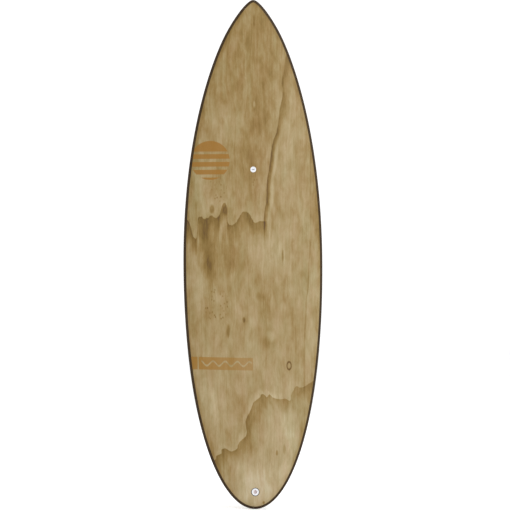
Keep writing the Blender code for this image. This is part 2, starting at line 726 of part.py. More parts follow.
def build():
    """Makes every piece of the board."""
    clear_scene()
    deck_wood = material("deck_veneer", (0.62, 0.55, 0.40), 0.45)
    bottom_wood = material("bottom_veneer", (0.64, 0.56, 0.42), 0.45)
    band_wood = material("dark_rail_wood", (0.25, 0.21, 0.14), 0.45)
    pale_wood = material("balsa", (0.80, 0.70, 0.52), 0.7)
    foam = material("foam", (0.95, 0.95, 0.93), 0.9)
    dense_foam = material("dense_foam", (0.70, 0.80, 0.85), 0.85)
    plastic = material("white_plastic", (0.90, 0.91, 0.94), 0.35)
    resin = material("dark_resin", (0.42, 0.38, 0.32), 0.3)
    steel = material("steel", (0.75, 0.75, 0.76), 0.3, 1.0)
    rubber = material("rubber", (0.08, 0.08, 0.08), 0.7)
    composite = material("fin_composite", (0.10, 0.10, 0.11), 0.35)

    deck, bottom = make_skins(deck_wood, bottom_wood)
    make_rails(band_wood, pale_wood)
    tail_block = make_end_blocks(pale_wood)
    core_source = core_mesh("foam_core")
    core = add_object("foam_core", core_source, foam)

    leash_axis = surface_axis("leash_axis", deck_height, 1.0, 0.0, LEASH_STATION)
    make_leash_plug(leash_axis, deck, tail_block, plastic, resin, steel)
    vent_axis = surface_axis("vent_axis", deck_height, 1.0, 0.0, VENT_STATION)
    make_vent_plug(vent_axis, deck, core, plastic, rubber)

    screw_mesh = grub_mesh()
    for word, side, axis in fin_axes():
        outboard = -side if side else 1
        make_fin(word, axis, side, outboard, composite)
        make_fin_box(word, axis, outboard, plastic, steel, screw_mesh)
        make_fin_insert(word, axis, core, core_source, bottom, dense_foam)


build()
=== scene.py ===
"""Looks of the wood-skinned surfboard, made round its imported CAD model.

The frame is the CAD's, in metres: Z runs from the tail (0) to the nose, X runs across the board, and
the deck faces -Y. Every mesh is made in that frame, so each piece's object sits at the origin.
"""
import json
import math

import bmesh
import bpy
import numpy as np
from mathutils import Matrix, Vector

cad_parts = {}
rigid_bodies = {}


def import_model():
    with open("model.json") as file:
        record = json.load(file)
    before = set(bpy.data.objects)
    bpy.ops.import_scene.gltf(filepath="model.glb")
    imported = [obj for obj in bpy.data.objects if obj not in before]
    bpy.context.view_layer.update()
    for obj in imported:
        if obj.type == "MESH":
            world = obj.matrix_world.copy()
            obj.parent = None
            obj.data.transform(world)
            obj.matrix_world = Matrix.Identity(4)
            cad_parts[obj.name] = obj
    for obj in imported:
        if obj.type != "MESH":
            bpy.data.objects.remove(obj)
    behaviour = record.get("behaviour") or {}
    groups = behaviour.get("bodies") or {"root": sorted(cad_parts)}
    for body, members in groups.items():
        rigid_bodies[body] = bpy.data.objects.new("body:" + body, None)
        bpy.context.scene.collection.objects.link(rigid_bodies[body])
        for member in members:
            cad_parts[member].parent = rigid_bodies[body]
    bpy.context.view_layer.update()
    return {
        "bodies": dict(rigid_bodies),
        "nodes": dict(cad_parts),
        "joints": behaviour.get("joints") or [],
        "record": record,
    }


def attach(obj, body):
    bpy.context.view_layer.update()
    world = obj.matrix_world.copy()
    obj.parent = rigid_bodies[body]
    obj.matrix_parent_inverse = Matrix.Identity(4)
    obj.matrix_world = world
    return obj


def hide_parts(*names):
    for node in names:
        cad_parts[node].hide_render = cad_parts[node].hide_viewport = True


# ---------------------------------------------------------------- the board's form, as in the CAD

LENGTH = 1.880
HALF_WIDTH = 0.2589
WIDE_POINT = 0.906
OUTLINE = np.array((
    ((0.0, 0.0), (0.1276, 0.0), (HALF_WIDTH, 0.307), (HALF_WIDTH, WIDE_POINT)),
    ((HALF_WIDTH, WIDE_POINT), (HALF_WIDTH, 1.3885), (0.1481, 1.6587), (0.1104, 1.7381)),
    ((0.1104, 1.7381), (0.0823, 1.7972), (0.0260, LENGTH), (0.0, LENGTH)),
))
FLAT_POINT = 0.850
NOSE_LIFT = 0.125
TAIL_LIFT = 0.057
NOSE_ROCKER_POWER = 2.4
TAIL_ROCKER_POWER = 2.2
CONCAVE_DEPTH = 0.003
CONCAVE_SHARE = 0.75
THICK_POINT = 0.960
THICKNESS = 0.067
NOSE_THICKNESS = 0.013
TAIL_THICKNESS = 0.018
TAIL_FOIL_POWER = 0.85
NOSE_ROUND = 0.011
TAIL_ROUND = 0.026
RAIL_LOW = 0.34
RAIL_HIGH = 0.50
DECK_CROWN = (2.4, 0.526)     # powers of the curve from the centreline to the rail
BOTTOM_CROWN = (8.0, 0.5)
SKIN = 0.0025
BAND = 0.0096
CORE_EDGE = 0.0213        # where the inner edges stand, from the outline

LEASH_STATION = 0.0635
LEASH_RIM = 0.0133
LEASH_BODY = 0.0122
LEASH_CAVITY = 0.0070
LEASH_DEPTH = 0.0160
LEASH_FLOOR = 0.0025
COLLAR_OUTER = 0.0156
LEASH_BAR = 0.0016
LEASH_BAR_DEPTH = 0.0052
LEASH_BAR_REACH = 0.0118
LEASH_BAR_EDGE = 0.0003
LEASH_FOOT_ROUND = 0.0008
LEASH_FLANGE_ROUND = 0.0002
LEASH_RIM_ROUND = 0.0005
LEASH_MOUTH_ROUND = 0.0009
LEASH_FLOOR_ROUND = 0.0020
COLLAR_ROUND = 0.00012

VENT_STATION = 1.257
VENT_FLANGE = 0.0106
VENT_STEM = 0.0070
VENT_DEPTH = 0.0220
VENT_HEAD = 0.0052
VENT_HEAD_DEPTH = 0.0024
VENT_SHANK = 0.0040
VENT_SHANK_END = 0.0150
VENT_SEAT = 0.0039
VENT_BORE = 0.0043
VENT_SEAL = 0.0009
VENT_SEAL_INNER = 0.0045
VENT_POCKET_GAP = 0.0003
VENT_SLOT = (0.0080, 0.0020, 0.0012)     # across the screw, along the board, and deep
VENT_SLOT_CORNER = 0.0003
VENT_RIM_ROUND = 0.0005
VENT_POCKET_ROUND = 0.0004
VENT_MOUTH_ROUND = 0.0003
VENT_FOOT_ROUND = 0.0006
VENT_HEAD_ROUNDS = (0.0003, 0.0006)      # under the head and on top of it
THREAD_PITCH = 0.0015
THREAD_DEPTH = 0.0006
THREAD_CHAMFER = 0.0008
THREAD_TIP_SHARE = 0.82   # radius at the shank's very end, as a share of the radius above it
SHANK_OVERLAP = 0.0002

FIN_BASE = 0.112
FIN_DEPTH = 0.115
FIN_THICKNESS = 0.0070
FIN_FRONT = (0.040, 0.100, 3.2)   # straight sweep, curved sweep and its power
FIN_BACK = (0.012, 0.044, 2.8)
FIN_TAPER = 0.86
FIN_EDGE = 0.0003
FIN_TIP_START = 0.985     # share of the depth where the tip starts to close
FIN_TIP_SPAN = 0.0152
FIN_TIP_RISES = (0.4, 0.7, 0.88, 0.97, 1.0)
FIN_TIP_CHORD = 0.4       # shares that are left at the very tip
FIN_TIP_THICKNESS = 0.15
FIN_TIP_EDGE = 0.3
FIN_NOSE_SPAN = 0.02      # share of the chord over which the front edge comes to its thickness
FIN_BIAS = 0.32
FIN_REAR_CENTRE = 0.095
FIN_REAR_SIDE = 0.280
FIN_FROM_RAIL = 0.038
FIN_TOE = math.radians(3.0)
FIN_CANT = math.radians(3.0)
FIN_LIFT = 0.00035
BLADE_START = 0.0004
FOOT_HEIGHT = 0.0015
FOOT_SIZE = (0.0080, 0.116)
FOOT_CORNER = 0.0039
FOOT_EDGE = 0.0008
TABS = (("front", 0.028), ("rear", -0.028))
TAB_SIZE = (0.0058, 0.0256, 0.0135)      # wide, long and deep, as for the box
TAB_CORNER = 0.0012
TAB_EDGE = 0.0010
TAB_CLEARANCE = 0.0004
TAB_ROOM = 0.0145
BOX_SIZE = (0.0250, 0.128, 0.0170)
BOX_CORNER = 0.0060
BOX_EDGE = 0.0005
BOX_DROP = 0.00005
GRUB_ANGLE = math.radians(30.0)
GRUB_START = 0.0082
GRUB_RADIUS = 0.0023
GRUB_TIP_RADIUS = 0.0012
GRUB_SPAN = (0.0009, 0.0060, 0.0073)     # depths of the top, the shoulder and the tip
GRUB_EDGE = 0.0003
GRUB_BORE = 0.0025
GRUB_BORE_SPAN = (-0.0085, 0.0030)
GRUB_SOCKET = 0.00125
GRUB_SOCKET_DEPTH = 0.0025

# ---------------------------------------------------------------- how finely the pieces are made

HAIRLINE = 0.00005        # visible joint between two neighbouring pieces
SLOPE_STEP = 0.001        # half the distance over which a slope is taken
END_MARGIN = 0.001        # normals are taken this far from an end of the outline
ROWS_PER_STRETCH = (90, 60, 50)
CENTRE_SHARES = np.linspace(0.0, 1.0, 15)[:-1]
SKIN_OFFSETS = np.array((0.02115, 0.0186, 0.0160, 0.0136, 0.0114, BAND + HAIRLINE))
BAND_OFFSETS = BAND * (1 - np.cos(np.radians(np.linspace(90.0, 0.0, 13))))
ROUND_SIDES = 72
SEAL_SIDES = 16
SCREW_SIDES = 36
FOIL_STEPS = 26
BLADE_STEPS = 36
CUT_REACH = 0.010
SMOOTH_ANGLE = math.radians(35.0)
WELD = 1e-6               # points this close are joined
LOOK = "_look"            # ending of each material's name, after the name of its slot


# ---------------------------------------------------------------- form

def outline(s):
    """Points and inward normals of the right-hand outline, s from 0 at the tail to 3 at the nose."""
    s = np.atleast_1d(np.asarray(s, float))
    stretch = np.minimum(s.astype(int), len(OUTLINE) - 1)
    t = (s - stretch)[:, None]
    a, b, c, d = (OUTLINE[stretch, k] for k in range(4))
    points = a * (1 - t) ** 3 + 3 * b * t * (1 - t) ** 2 + 3 * c * t * t * (1 - t) + d * t ** 3
    along = (b - a) * (1 - t) ** 2 + 2 * (c - b) * t * (1 - t) + (d - c) * t * t
    along /= np.linalg.norm(along, axis=1, keepdims=True)
    return points, np.stack((-along[:, 1], along[:, 0]), 1)


WIDTH_TABLE = outline(np.linspace(0.0, 3.0, 6001))[0]


def half_width(z):
    """Half width of the board at a station."""
    return np.interp(z, WIDTH_TABLE[:, 1], WIDTH_TABLE[:, 0])


def rocker(z):
    """Height of the bottom on the centreline, without the concave."""
    ahead = np.clip((z - FLAT_POINT) / (LENGTH - FLAT_POINT), 0, None)
    behind = np.clip((FLAT_POINT - z) / FLAT_POINT, 0, None)
    return NOSE_LIFT * ahead ** NOSE_ROCKER_POWER + TAIL_LIFT * behind ** TAIL_ROCKER_POWER


def rounded_end(distance, length):
    """Share of the full thickness at a distance from one end of the board."""
    share = np.clip(distance / length, 0.0, 1.0)
    return np.sqrt(1 - (1 - share) ** 2)


def foil_thickness(z):
    """Thickness on the centreline, before the two ends are rounded."""
    ahead = np.cos(np.pi / 2 * np.clip((z - THICK_POINT) / (LENGTH - THICK_POINT), 0, 1))
    behind = np.cos(np.pi / 2 * np.clip((THICK_POINT - z) / THICK_POINT, 0, 1))
    nose = NOSE_THICKNESS + (THICKNESS - NOSE_THICKNESS) * ahead
    tail = TAIL_THICKNESS + (THICKNESS - TAIL_THICKNESS) * behind ** TAIL_FOIL_POWER
    return np.where(z > THICK_POINT, nose, tail)


def thickness(z):
    """Thickness of the board on the centreline."""
    return foil_thickness(z) * rounded_end(z, TAIL_ROUND) * rounded_end(LENGTH - z, NOSE_ROUND)


def apex_share(z):
    """Rail apex as a share of the thickness."""
    return RAIL_LOW + (RAIL_HIGH - RAIL_LOW) * z / LENGTH


def apex_height(z):
    """Height of the rail's outermost line."""
    return rocker(z) + apex_share(z) * foil_thickness(z)


def across(x, z):
    """Place across the board as a share of the half width."""
    return np.minimum(np.abs(x) / np.maximum(half_width(z), 1e-9), 1.0)


def crown(u, powers):
    """Share of the full height of one face, u from 0 on the centreline to 1 at the rail."""
    return np.maximum(1 - u ** powers[0], 0.0) ** powers[1]


def deck_height(x, z):
    """Height of the deck."""
    return apex_height(z) + (1 - apex_share(z)) * thickness(z) * crown(across(x, z), DECK_CROWN)


def bottom_height(x, z):
    """Height of the bottom, with a shallow concave between the rails."""
    u = across(x, z)
    face = apex_height(z) - apex_share(z) * thickness(z) * crown(u, BOTTOM_CROWN)
    hollow = np.maximum(1 - (u / CONCAVE_SHARE) ** 2, 0.0) ** 2
    return face + CONCAVE_DEPTH * np.sin(np.pi * z / LENGTH) ** 2 * hollow


def deck_glue_face(x, z):
    """Height of the underside of the deck skin."""
    return deck_height(x, z) - SKIN


def bottom_glue_face(x, z):
    """Height of the inner face of the bottom skin."""
    return bottom_height(x, z) + SKIN


END_HEIGHT = float(apex_height(0.0))


def world_points(x, z, height):
    """World positions of points given by their plan positions and heights."""
    return np.stack((x, END_HEIGHT - height, z), -1)


def surface_frame(height_of, outward, x, z, toe=0.0):
    """Matrix on the board's surface: Z points out of it, and Y towards the nose."""
    step = SLOPE_STEP
    slope_x = float(height_of(x + step, z) - height_of(x - step, z)) / (2 * step)
    slope_z = float(height_of(x, z + step) - height_of(x, z - step)) / (2 * step)
    rise = -(slope_x * math.sin(toe) + slope_z * math.cos(toe))
    forward = Vector((math.sin(toe), rise, math.cos(toe))).normalized()
    normal = (outward * Vector((-slope_x, -1.0, -slope_z))).normalized()
    axes = Matrix((forward.cross(normal), forward, normal)).transposed().to_4x4()
    place = world_points(x, z, float(height_of(x, z)))
    return Matrix.Translation(Vector(place.tolist())) @ axes


# ---------------------------------------------------------------- the plan lattice

def inset(s, offset):
    """Plan points at a distance inside the outline; near the nose the offsets close up."""
    points, normals = outline(s)
    probe, probe_normals = outline(np.clip(s, END_MARGIN, len(OUTLINE) - END_MARGIN))
    lean = np.minimum(probe_normals[:, 0], -1e-6)
    room = -probe[:, 0] / lean
    squeezed = BAND + (offset - BAND) * (room - BAND) / (CORE_EDGE - BAND)
    reach = np.where((room < CORE_EDGE) & (offset > BAND), squeezed, offset)
    places = points + normals * reach[:, None]
    places[:, 0] = np.maximum(places[:, 0], 0.0)
    return places


def lattice_stations():
    """Outline parameters of the rows, from the tail to the nose."""
    steps = [np.linspace(k, k + 1, count + 1)[:-1] for k, count in enumerate(ROWS_PER_STRETCH)]
    return np.concatenate(steps + [np.array((3.0,))])


def skin_rows():
    """Plan points of a skin, row by row, from the left-hand edge to the right-hand edge."""
    stations = lattice_stations()
    edge = np.stack([inset(stations, offset) for offset in SKIN_OFFSETS], 1)
    inner = edge[:, :1]
    centre = np.concatenate((inner[..., :1] * CENTRE_SHARES[None, :, None],
                             np.repeat(inner[..., 1:], len(CENTRE_SHARES), 1)), 2)
    right = np.concatenate((centre, edge), 1)
    left = right[:, :0:-1] * np.array((-1.0, 1.0))
    return np.concatenate((left, right), 1)


def band_rows(side):
    """Plan points of one rail band, row by row, kept clear of the centreline."""
    rows = np.stack([inset(lattice_stations(), offset) for offset in BAND_OFFSETS], 1)
    rows[..., 0] = side * np.maximum(rows[..., 0], HAIRLINE)
    return rows[:, ::side]


# ---------------------------------------------------------------- mesh helpers

def quads_over(index):
    """Quads over a grid of vertex numbers."""
    corners = (index[:-1, :-1], index[:-1, 1:], index[1:, 1:], index[1:, :-1])
    return np.stack([c.ravel() for c in corners], 1)


def closed_mesh(name, points, faces, matrix=None):
    """Solid from points and faces, with coincident points joined and faces turned outwards."""
    mesh = bpy.data.meshes.new(name)
    mesh.from_pydata([tuple(point) for point in points], [], [tuple(face) for face in faces])
    bm = bmesh.new()
    bm.from_mesh(mesh)
    bmesh.ops.remove_doubles(bm, verts=bm.verts, dist=WELD)
    bmesh.ops.recalc_face_normals(bm, faces=bm.faces)
    bm.to_mesh(mesh)
    bm.free()
    if matrix is not None:
        mesh.transform(matrix)
    return smoothed(mesh)


def grid_mesh(name, points, matrix):
    """Solid from a grid of points that closes on itself."""
    index = np.arange(points.shape[0] * points.shape[1]).reshape(points.shape[:2])
    return closed_mesh(name, points.reshape(-1, 3), quads_over(index), matrix)


def smoothed(mesh):
    """Smooth shading, with the sharper edges kept crisp."""
    mesh.shade_smooth()
    mesh.set_sharp_from_angle(angle=SMOOTH_ANGLE)
    return mesh


def slab(name, rows, top_of, bottom_of, capped):
    """Closed solid between two height fields over rows of plan points."""
    x, z = rows[..., 0], rows[..., 1]
    sheets = [world_points(x, z, height_of(x, z)).reshape(-1, 3) for height_of in (top_of, bottom_of)]
    top = np.arange(x.size).reshape(x.shape)
    bottom = top + x.size
    quads = [quads_over(top), quads_over(bottom)]
    for edge in (0, -1):
        quads.append(quads_over(np.stack((top[:, edge], bottom[:, edge]), 1)))
        if capped:
            quads.append(quads_over(np.stack((top[edge], bottom[edge]), 1)))
    return closed_mesh(name, np.concatenate(sheets), np.concatenate(quads))


def loft(name, loops, matrix):
    """Solid through loops with equal numbers of points, capped at both ends."""
    points = [point for loop in loops for point in loop]
    index = np.arange(len(points)).reshape(len(loops), -1)
    around = np.concatenate((index, index[:, :1]), 1)
    return closed_mesh(name, points, [*quads_over(around), index[0], index[-1]], matrix)


def circle(radius, z, sides=ROUND_SIDES):
    """Points of a regular polygon round the local Z axis."""
    steps = [2 * math.pi * k / sides for k in range(sides)]
    return [Vector((radius * math.cos(a), radius * math.sin(a), z)) for a in steps]


def fillet(corners, steps=4):
    """Profile through (radius, height, rounding) corners, each rounded off by its own amount."""
    points = [Vector(corner[:2]) for corner in corners]
    rounded = []
    for k, (_, _, rounding) in enumerate(corners):
        corner = points[k]
        if rounding == 0:
            rounded.append(corner)
            continue
        before = points[k - 1] - corner
        after = points[(k + 1) % len(points)] - corner
        room = min(rounding, 0.45 * before.length, 0.45 * after.length)
        start, finish = corner + before.normalized() * room, corner + after.normalized() * room
        for step in range(steps + 1):
            t = step / steps
            rounded.append(start * (1 - t) ** 2 + corner * 2 * t * (1 - t) + finish * t * t)
    return rounded


def turned(name, profile, matrix):
    """Solid turned about the local Z axis; a profile that leaves out the axis makes a ring."""
    if profile[0][0] != 0.0:
        profile = [*profile, profile[0]]
    radius, height = np.array(profile).T
    angles = np.linspace(0.0, 2 * math.pi, ROUND_SIDES + 1)[:, None]
    points = np.stack((radius * np.cos(angles), radius * np.sin(angles), height + 0 * angles), -1)
    return grid_mesh(name, points, matrix)


def rounded_loop(width, length, corner, z, steps=10):
    """Rounded rectangle in a plane of constant local z."""
    points = []
    for turn, (sx, sy) in enumerate(((1, 1), (-1, 1), (-1, -1), (1, -1))):
        middle = Vector((sx * (width / 2 - corner), sy * (length / 2 - corner), z))
        for k in range(steps + 1):
            angle = math.pi / 2 * (turn + k / steps)
            points.append(middle + corner * Vector((math.cos(angle), math.sin(angle), 0)))
    return points


def pillow_loops(width, length, corner, low, high, edge, steps=3):
    """Loops of an upright rounded block whose top edge is rounded off by a small radius."""
    loops = [rounded_loop(width, length, corner, low)]
    for k in range(steps + 1):
        angle = math.pi / 2 * k / steps
        back = edge * (1 - math.cos(angle))
        z = high - edge * (1 - math.sin(angle))
        loops.append(rounded_loop(width - 2 * back, length - 2 * back, corner - back, z))
    return loops


def new_object(name, data):
    """Object in the scene, at the origin."""
    made = bpy.data.objects.new(name, data)
    bpy.context.scene.collection.objects.link(made)
    return made


def shaped(mesh, tools, operation="DIFFERENCE"):
    """The mesh with the tool meshes taken out of it, or joined to it."""
    body = new_object(mesh.name, mesh)
    helpers = [new_object(tool.name, tool) for tool in tools]
    for helper in helpers:
        step = body.modifiers.new(helper.name, "BOOLEAN")
        step.object = helper
        step.operation = operation
        step.solver = "EXACT"
    seen = body.evaluated_get(bpy.context.evaluated_depsgraph_get())
    result = bpy.data.meshes.new_from_object(seen)
    for made in [body] + helpers:
        bpy.data.objects.remove(made)
    return smoothed(result)


def cylinder(name, radius, low, high, matrix, sides=ROUND_SIDES):
    """Upright round block."""
    return loft(name, [circle(radius, z, sides) for z in (low, high)], matrix)


def block(name, size, corner, low, high, matrix):
    """Upright block with a rounded rectangle for its outline."""
    return loft(name, [rounded_loop(*size, corner, z) for z in (low, high)], matrix)


def add_piece(node, mesh, look, body="board"):
    """Shows a mesh in place of a CAD node, riding on the CAD's body."""
    mesh.materials.clear()
    mesh.materials.append(look)
    mesh.polygons.foreach_set("material_index", [0] * len(mesh.polygons))
    piece = new_object(node + "_shown", mesh)
    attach(piece, body)
    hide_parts(node)


# ---------------------------------------------------------------- node graphs

def tint(red, green, blue):
    """Linear colour from its 0-255 display values."""
    values = [c / 255 for c in (red, green, blue)]
    return tuple(((v + 0.055) / 1.055) ** 2.4 if v > 0.04045 else v / 12.92 for v in values) + (1.0,)


SHADER_INPUTS = {
    "specular": "Specular IOR Level", "metallic": "Metallic", "coat": "Coat Weight",
    "coat_roughness": "Coat Roughness",
}


class Graph:
    """One material's node tree, built from short calls that pass sockets or plain values."""

    def __init__(self, name):
        self.material = bpy.data.materials.new(name + LOOK)
        self.material.use_nodes = True
        self.tree = self.material.node_tree
        self.shader = self.tree.nodes["Principled BSDF"]
        self.place = self.tree.nodes.new("ShaderNodeTexCoord").outputs["Object"]
        self.x, self.y, self.z = self.node("ShaderNodeSeparateXYZ", {0: self.place}).outputs

    def node(self, kind, inputs, **settings):
        """New node with its settings and inputs filled in."""
        made = self.tree.nodes.new(kind)
        for key, value in settings.items():
            setattr(made, key, value)
        for key, value in inputs.items():
            self.feed(made.inputs[key], value)
        return made

    def feed(self, socket, value):
        """Links a socket, or sets it to a plain value."""
        if isinstance(value, bpy.types.NodeSocket):
            self.tree.links.new(value, socket)
        else:
            socket.default_value = value

    def math(self, operation, *values, clamp=False):
        """One step of arithmetic."""
        inputs = dict(enumerate(values))
        return self.node("ShaderNodeMath", inputs, operation=operation, use_clamp=clamp).outputs[0]

    def add(self, a, b):
        """Sum."""
        return self.math("ADD", a, b)

    def sub(self, a, b):
        """Difference."""
        return self.math("SUBTRACT", a, b)

    def mul(self, product, *others):
        """Product of two or more values."""
        for other in others:
            product = self.math("MULTIPLY", product, other)
        return product

    def gap(self, a, b):
        """Absolute difference."""
        return self.math("ABSOLUTE", self.sub(a, b))

    def blend(self, total, amount, share):
        """total + amount * share."""
        return self.math("MULTIPLY_ADD", amount, share, total)

    def span(self, value, low, high, start=0.0, finish=1.0, kind="LINEAR"):
        """Value mapped from low..high to start..finish, and held there beyond the ends."""
        inputs = {"Value": value, "From Min": low, "From Max": high, "To Min": start, "To Max": finish}
        made = self.node("ShaderNodeMapRange", inputs, interpolation_type=kind)
        return made.outputs["Result"]

    def step(self, value, low, high, start=0.0, finish=1.0):
        """Soft step from start to finish as the value goes from low to high."""
        return self.span(value, low, high, start, finish, "SMOOTHSTEP")

    def point(self, x, y, z):
        """Vector from three values."""
        return self.node("ShaderNodeCombineXYZ", {0: x, 1: y, 2: z}).outputs[0]

    def over(self, x, z, scales, seed):
        """Place in a texture that runs over two coordinates, at scales in cells per metre."""
        return self.point(self.mul(x, scales[0]), seed, self.mul(z, scales[1]))

    def noise(self, place, detail=2.0, roughness=0.5, scale=1.0):
        """Signed noise, about -1 to 1."""
        inputs = {"Vector": place, "Scale": scale, "Detail": detail, "Roughness": roughness}
        value = self.node("ShaderNodeTexNoise", inputs, noise_dimensions="3D").outputs["Fac"]
        return self.span(value, 0.2, 0.8, -1.0, 1.0)

    def cells(self, place, scale=1.0, feature="F1", dimensions="3D"):
        """Distance to the middle of a cell, or to its wall."""
        inputs = {"Vector": place, "Scale": scale}
        made = self.node("ShaderNodeTexVoronoi", inputs, voronoi_dimensions=dimensions, feature=feature)
        return made.outputs["Distance"]

    def line(self, value, points):
        """Value of the line through some (input, output) points, held level beyond its ends."""
        points = sorted(points)
        lows = [min(p[k] for p in points) for k in (0, 1)]
        highs = [max(p[k] for p in points) for k in (0, 1)]
        made = self.tree.nodes.new("ShaderNodeFloatCurve")
        curve = made.mapping.curves[0]
        places = [[(p[k] - lows[k]) / (highs[k] - lows[k]) for k in (0, 1)] for p in points]
        curve.points[0].location = places[0]
        curve.points[1].location = places[-1]
        for place in places[1:-1]:
            curve.points.new(*place)
        made.mapping.update()
        self.feed(made.inputs["Value"], self.span(value, lows[0], highs[0]))
        return self.span(made.outputs[0], 0.0, 1.0, lows[1], highs[1])

    def distance(self, centre, radii):
        """Distance from a centre over the board's plan, in radii."""
        dx, dz = [self.math("DIVIDE", self.sub(axis, middle), radius)
                  for axis, middle, radius in zip((self.x, self.z), centre, radii)]
        inputs = {0: self.point(dx, dz, 0.0)}
        return self.node("ShaderNodeVectorMath", inputs, operation="LENGTH").outputs["Value"]

    def area(self, centre, radii, core=0.0):
        """1 in the core of an oval area, fading to 0 at its radii."""
        return self.step(self.distance(centre, radii), 1.0, core)

    def areas(self, total, places, core):
        """The total with each place's own amount added over its oval area."""
        for centre, radii, amount in places:
            total = self.blend(total, self.area(centre, radii, core), amount)
        return total

    def turned_axes(self, x, z, angle):
        """Coordinates along and across a line at an angle to the X axis."""
        along = self.blend(self.mul(x, math.cos(angle)), z, math.sin(angle))
        return along, self.blend(self.mul(z, math.cos(angle)), x, -math.sin(angle))

    def ramp(self, value, stops):
        """Colour from a value, through (place, colour) stops."""
        made = self.node("ShaderNodeValToRGB", {0: value})
        elements = made.color_ramp.elements
        for element, (place, colour) in zip(elements, (stops[0], stops[-1])):
            element.position, element.color = place, colour
        for place, colour in stops[1:-1]:
            elements.new(place).color = colour
        return made.outputs[0]

    def between(self, value, low, high):
        """Colour from a value, between two display colours."""
        return self.ramp(value, ((0.0, tint(*low)), (1.0, tint(*high))))

    def mix(self, share, first, second, kind="MIX"):
        """Mix of two colours."""
        inputs = {0: share, 6: first, 7: second}
        return self.node("ShaderNodeMix", inputs, data_type="RGBA", blend_type=kind).outputs[2]

    def bump(self, height, distance):
        """Relief from a height of 0 to 1 and the depth, in metres, that 1 stands for."""
        relief = self.node("ShaderNodeBump", {"Height": height, "Distance": distance})
        self.feed(self.shader.inputs["Normal"], relief.outputs[0])

    def finish(self, colour, roughness, **others):
        """Fills in the shader and returns the material."""
        values = {"Base Color": colour, "Roughness": roughness}
        values.update({SHADER_INPUTS[key]: value for key, value in others.items()})
        for key, value in values.items():
            self.feed(self.shader.inputs[key], value)
        return self.material


# ---------------------------------------------------------------- wood

VENEER_TONES = (
    (0.00, tint(72, 47, 12)), (0.20, tint(100, 76, 25)), (0.40, tint(119, 96, 51)),
    (0.55, tint(130, 111, 72)), (0.70, tint(139, 122, 87)), (0.85, tint(149, 133, 100)),
    (1.00, tint(160, 147, 119)),
)
BAND_TONES = ((0.0, tint(28, 18, 8)), (0.5, tint(48, 35, 18)), (1.0, tint(72, 56, 33)))
BALSA_TONES = ((0.0, tint(176, 148, 104)), (0.5, tint(204, 178, 134)), (1.0, tint(224, 202, 164)))

# The deck's upper figure: (z, x) along its right-hand edge, and (x, z) along its lower edge.
UPPER_EDGE = (
    (1.700, 0.1280), (1.681, 0.1233), (1.617, 0.1143), (1.582, 0.1072), (1.543, 0.1106), (1.484, 0.1001),
    (1.4025, 0.0892), (1.362, 0.0749), (1.3335, 0.0692), (1.298, 0.0639), (1.256, 0.0585), (1.227, 0.0528),
    (1.1845, 0.0493), (1.146, 0.0491), (1.107, 0.0419), (1.065, 0.0379),
)
BAND_WIDTH = (
    (1.640, 0.026), (1.576, 0.020), (1.543, 0.013), (1.484, 0.021), (1.4025, 0.013), (1.20, 0.011),
)
BAND_REACH = 1.5          # the band's shade fades out at this many widths from the edge
RULE_PLACE = 0.0012       # thin line just beside the edge
STRIP_BESIDE = 0.008      # the pale strip's middle, from the band's far side
UPPER_SHORE = (
    (0.0350, 1.0650), (0.0219, 1.0648), (0.0078, 1.0597), (-0.0029, 1.0686), (-0.0117, 1.0861),
    (-0.0206, 1.0969), (-0.0383, 1.1007), (-0.0454, 1.0918), (-0.0559, 1.0760), (-0.0686, 1.0583),
    (-0.0845, 1.0514), (-0.0933, 1.0584), (-0.0966, 1.0725), (-0.0985, 1.1100), (-0.1070, 1.1344),
    (-0.1140, 1.1263), (-0.1200, 1.1078), (-0.1301, 1.0835), (-0.1390, 1.0784), (-0.1570, 1.0870),
    (-0.1692, 1.0786), (-0.1832, 1.0768), (-0.1938, 1.0839), (-0.2041, 1.0803), (-0.2080, 1.0345),
    (-0.2115, 1.0026), (-0.2188, 1.0060), (-0.2289, 1.0346), (-0.2374, 1.0628), (-0.2443, 1.0737),
)
# The deck's lower figure: (x, z) along its upper edge, read in axes turned to follow it.
TAIL_SHORE = (
    (-0.1650, 0.1700), (-0.1463, 0.1843), (-0.1411, 0.1985), (-0.1257, 0.2055), (-0.1219, 0.2218),
    (-0.1126, 0.2251), (-0.0969, 0.2180), (-0.0851, 0.2142), (-0.0688, 0.2215), (-0.0631, 0.2377),
    (-0.0507, 0.2546), (-0.0347, 0.2689), (-0.0326, 0.3040), (-0.0330, 0.3262), (-0.0271, 0.3431),
    (-0.0180, 0.3604), (-0.0090, 0.3815), (-0.0022, 0.3962), (0.0109, 0.4064), (0.0217, 0.4152),
    (0.0251, 0.4241), (0.0378, 0.4217), (0.0448, 0.4131), (0.0552, 0.4237), (0.0660, 0.4129),
    (0.0946, 0.4055), (0.1178, 0.4071), (0.1320, 0.3995), (0.1359, 0.4191), (0.1450, 0.4367),
    (0.1575, 0.4525), (0.1684, 0.4471), (0.1850, 0.4500),
)
TAIL_TURN = math.radians(30.0)
SHORE_REACH = 0.075       # how far the shade reaches from each lower edge
TAIL_REACH = 0.070
# Growth line on the right: (z, x).
SIDE_LINE = (
    (0.9948, 0.2147), (0.9132, 0.2066), (0.8242, 0.2031), (0.7686, 0.1956), (0.7110, 0.1934),
    (0.6398, 0.1892), (0.5126, 0.1851),
)
# Border between the pale strip by the left rail and the dark lobe under the upper figure: (z, x).
LOBE_BORDER = (
    (1.000, -0.2260), (0.9864, -0.2222), (0.9085, -0.2022), (0.8640, -0.1877), (0.8417, -0.1669),
)
LOBE = ((-0.225, 0.88), (0.06, 0.14))
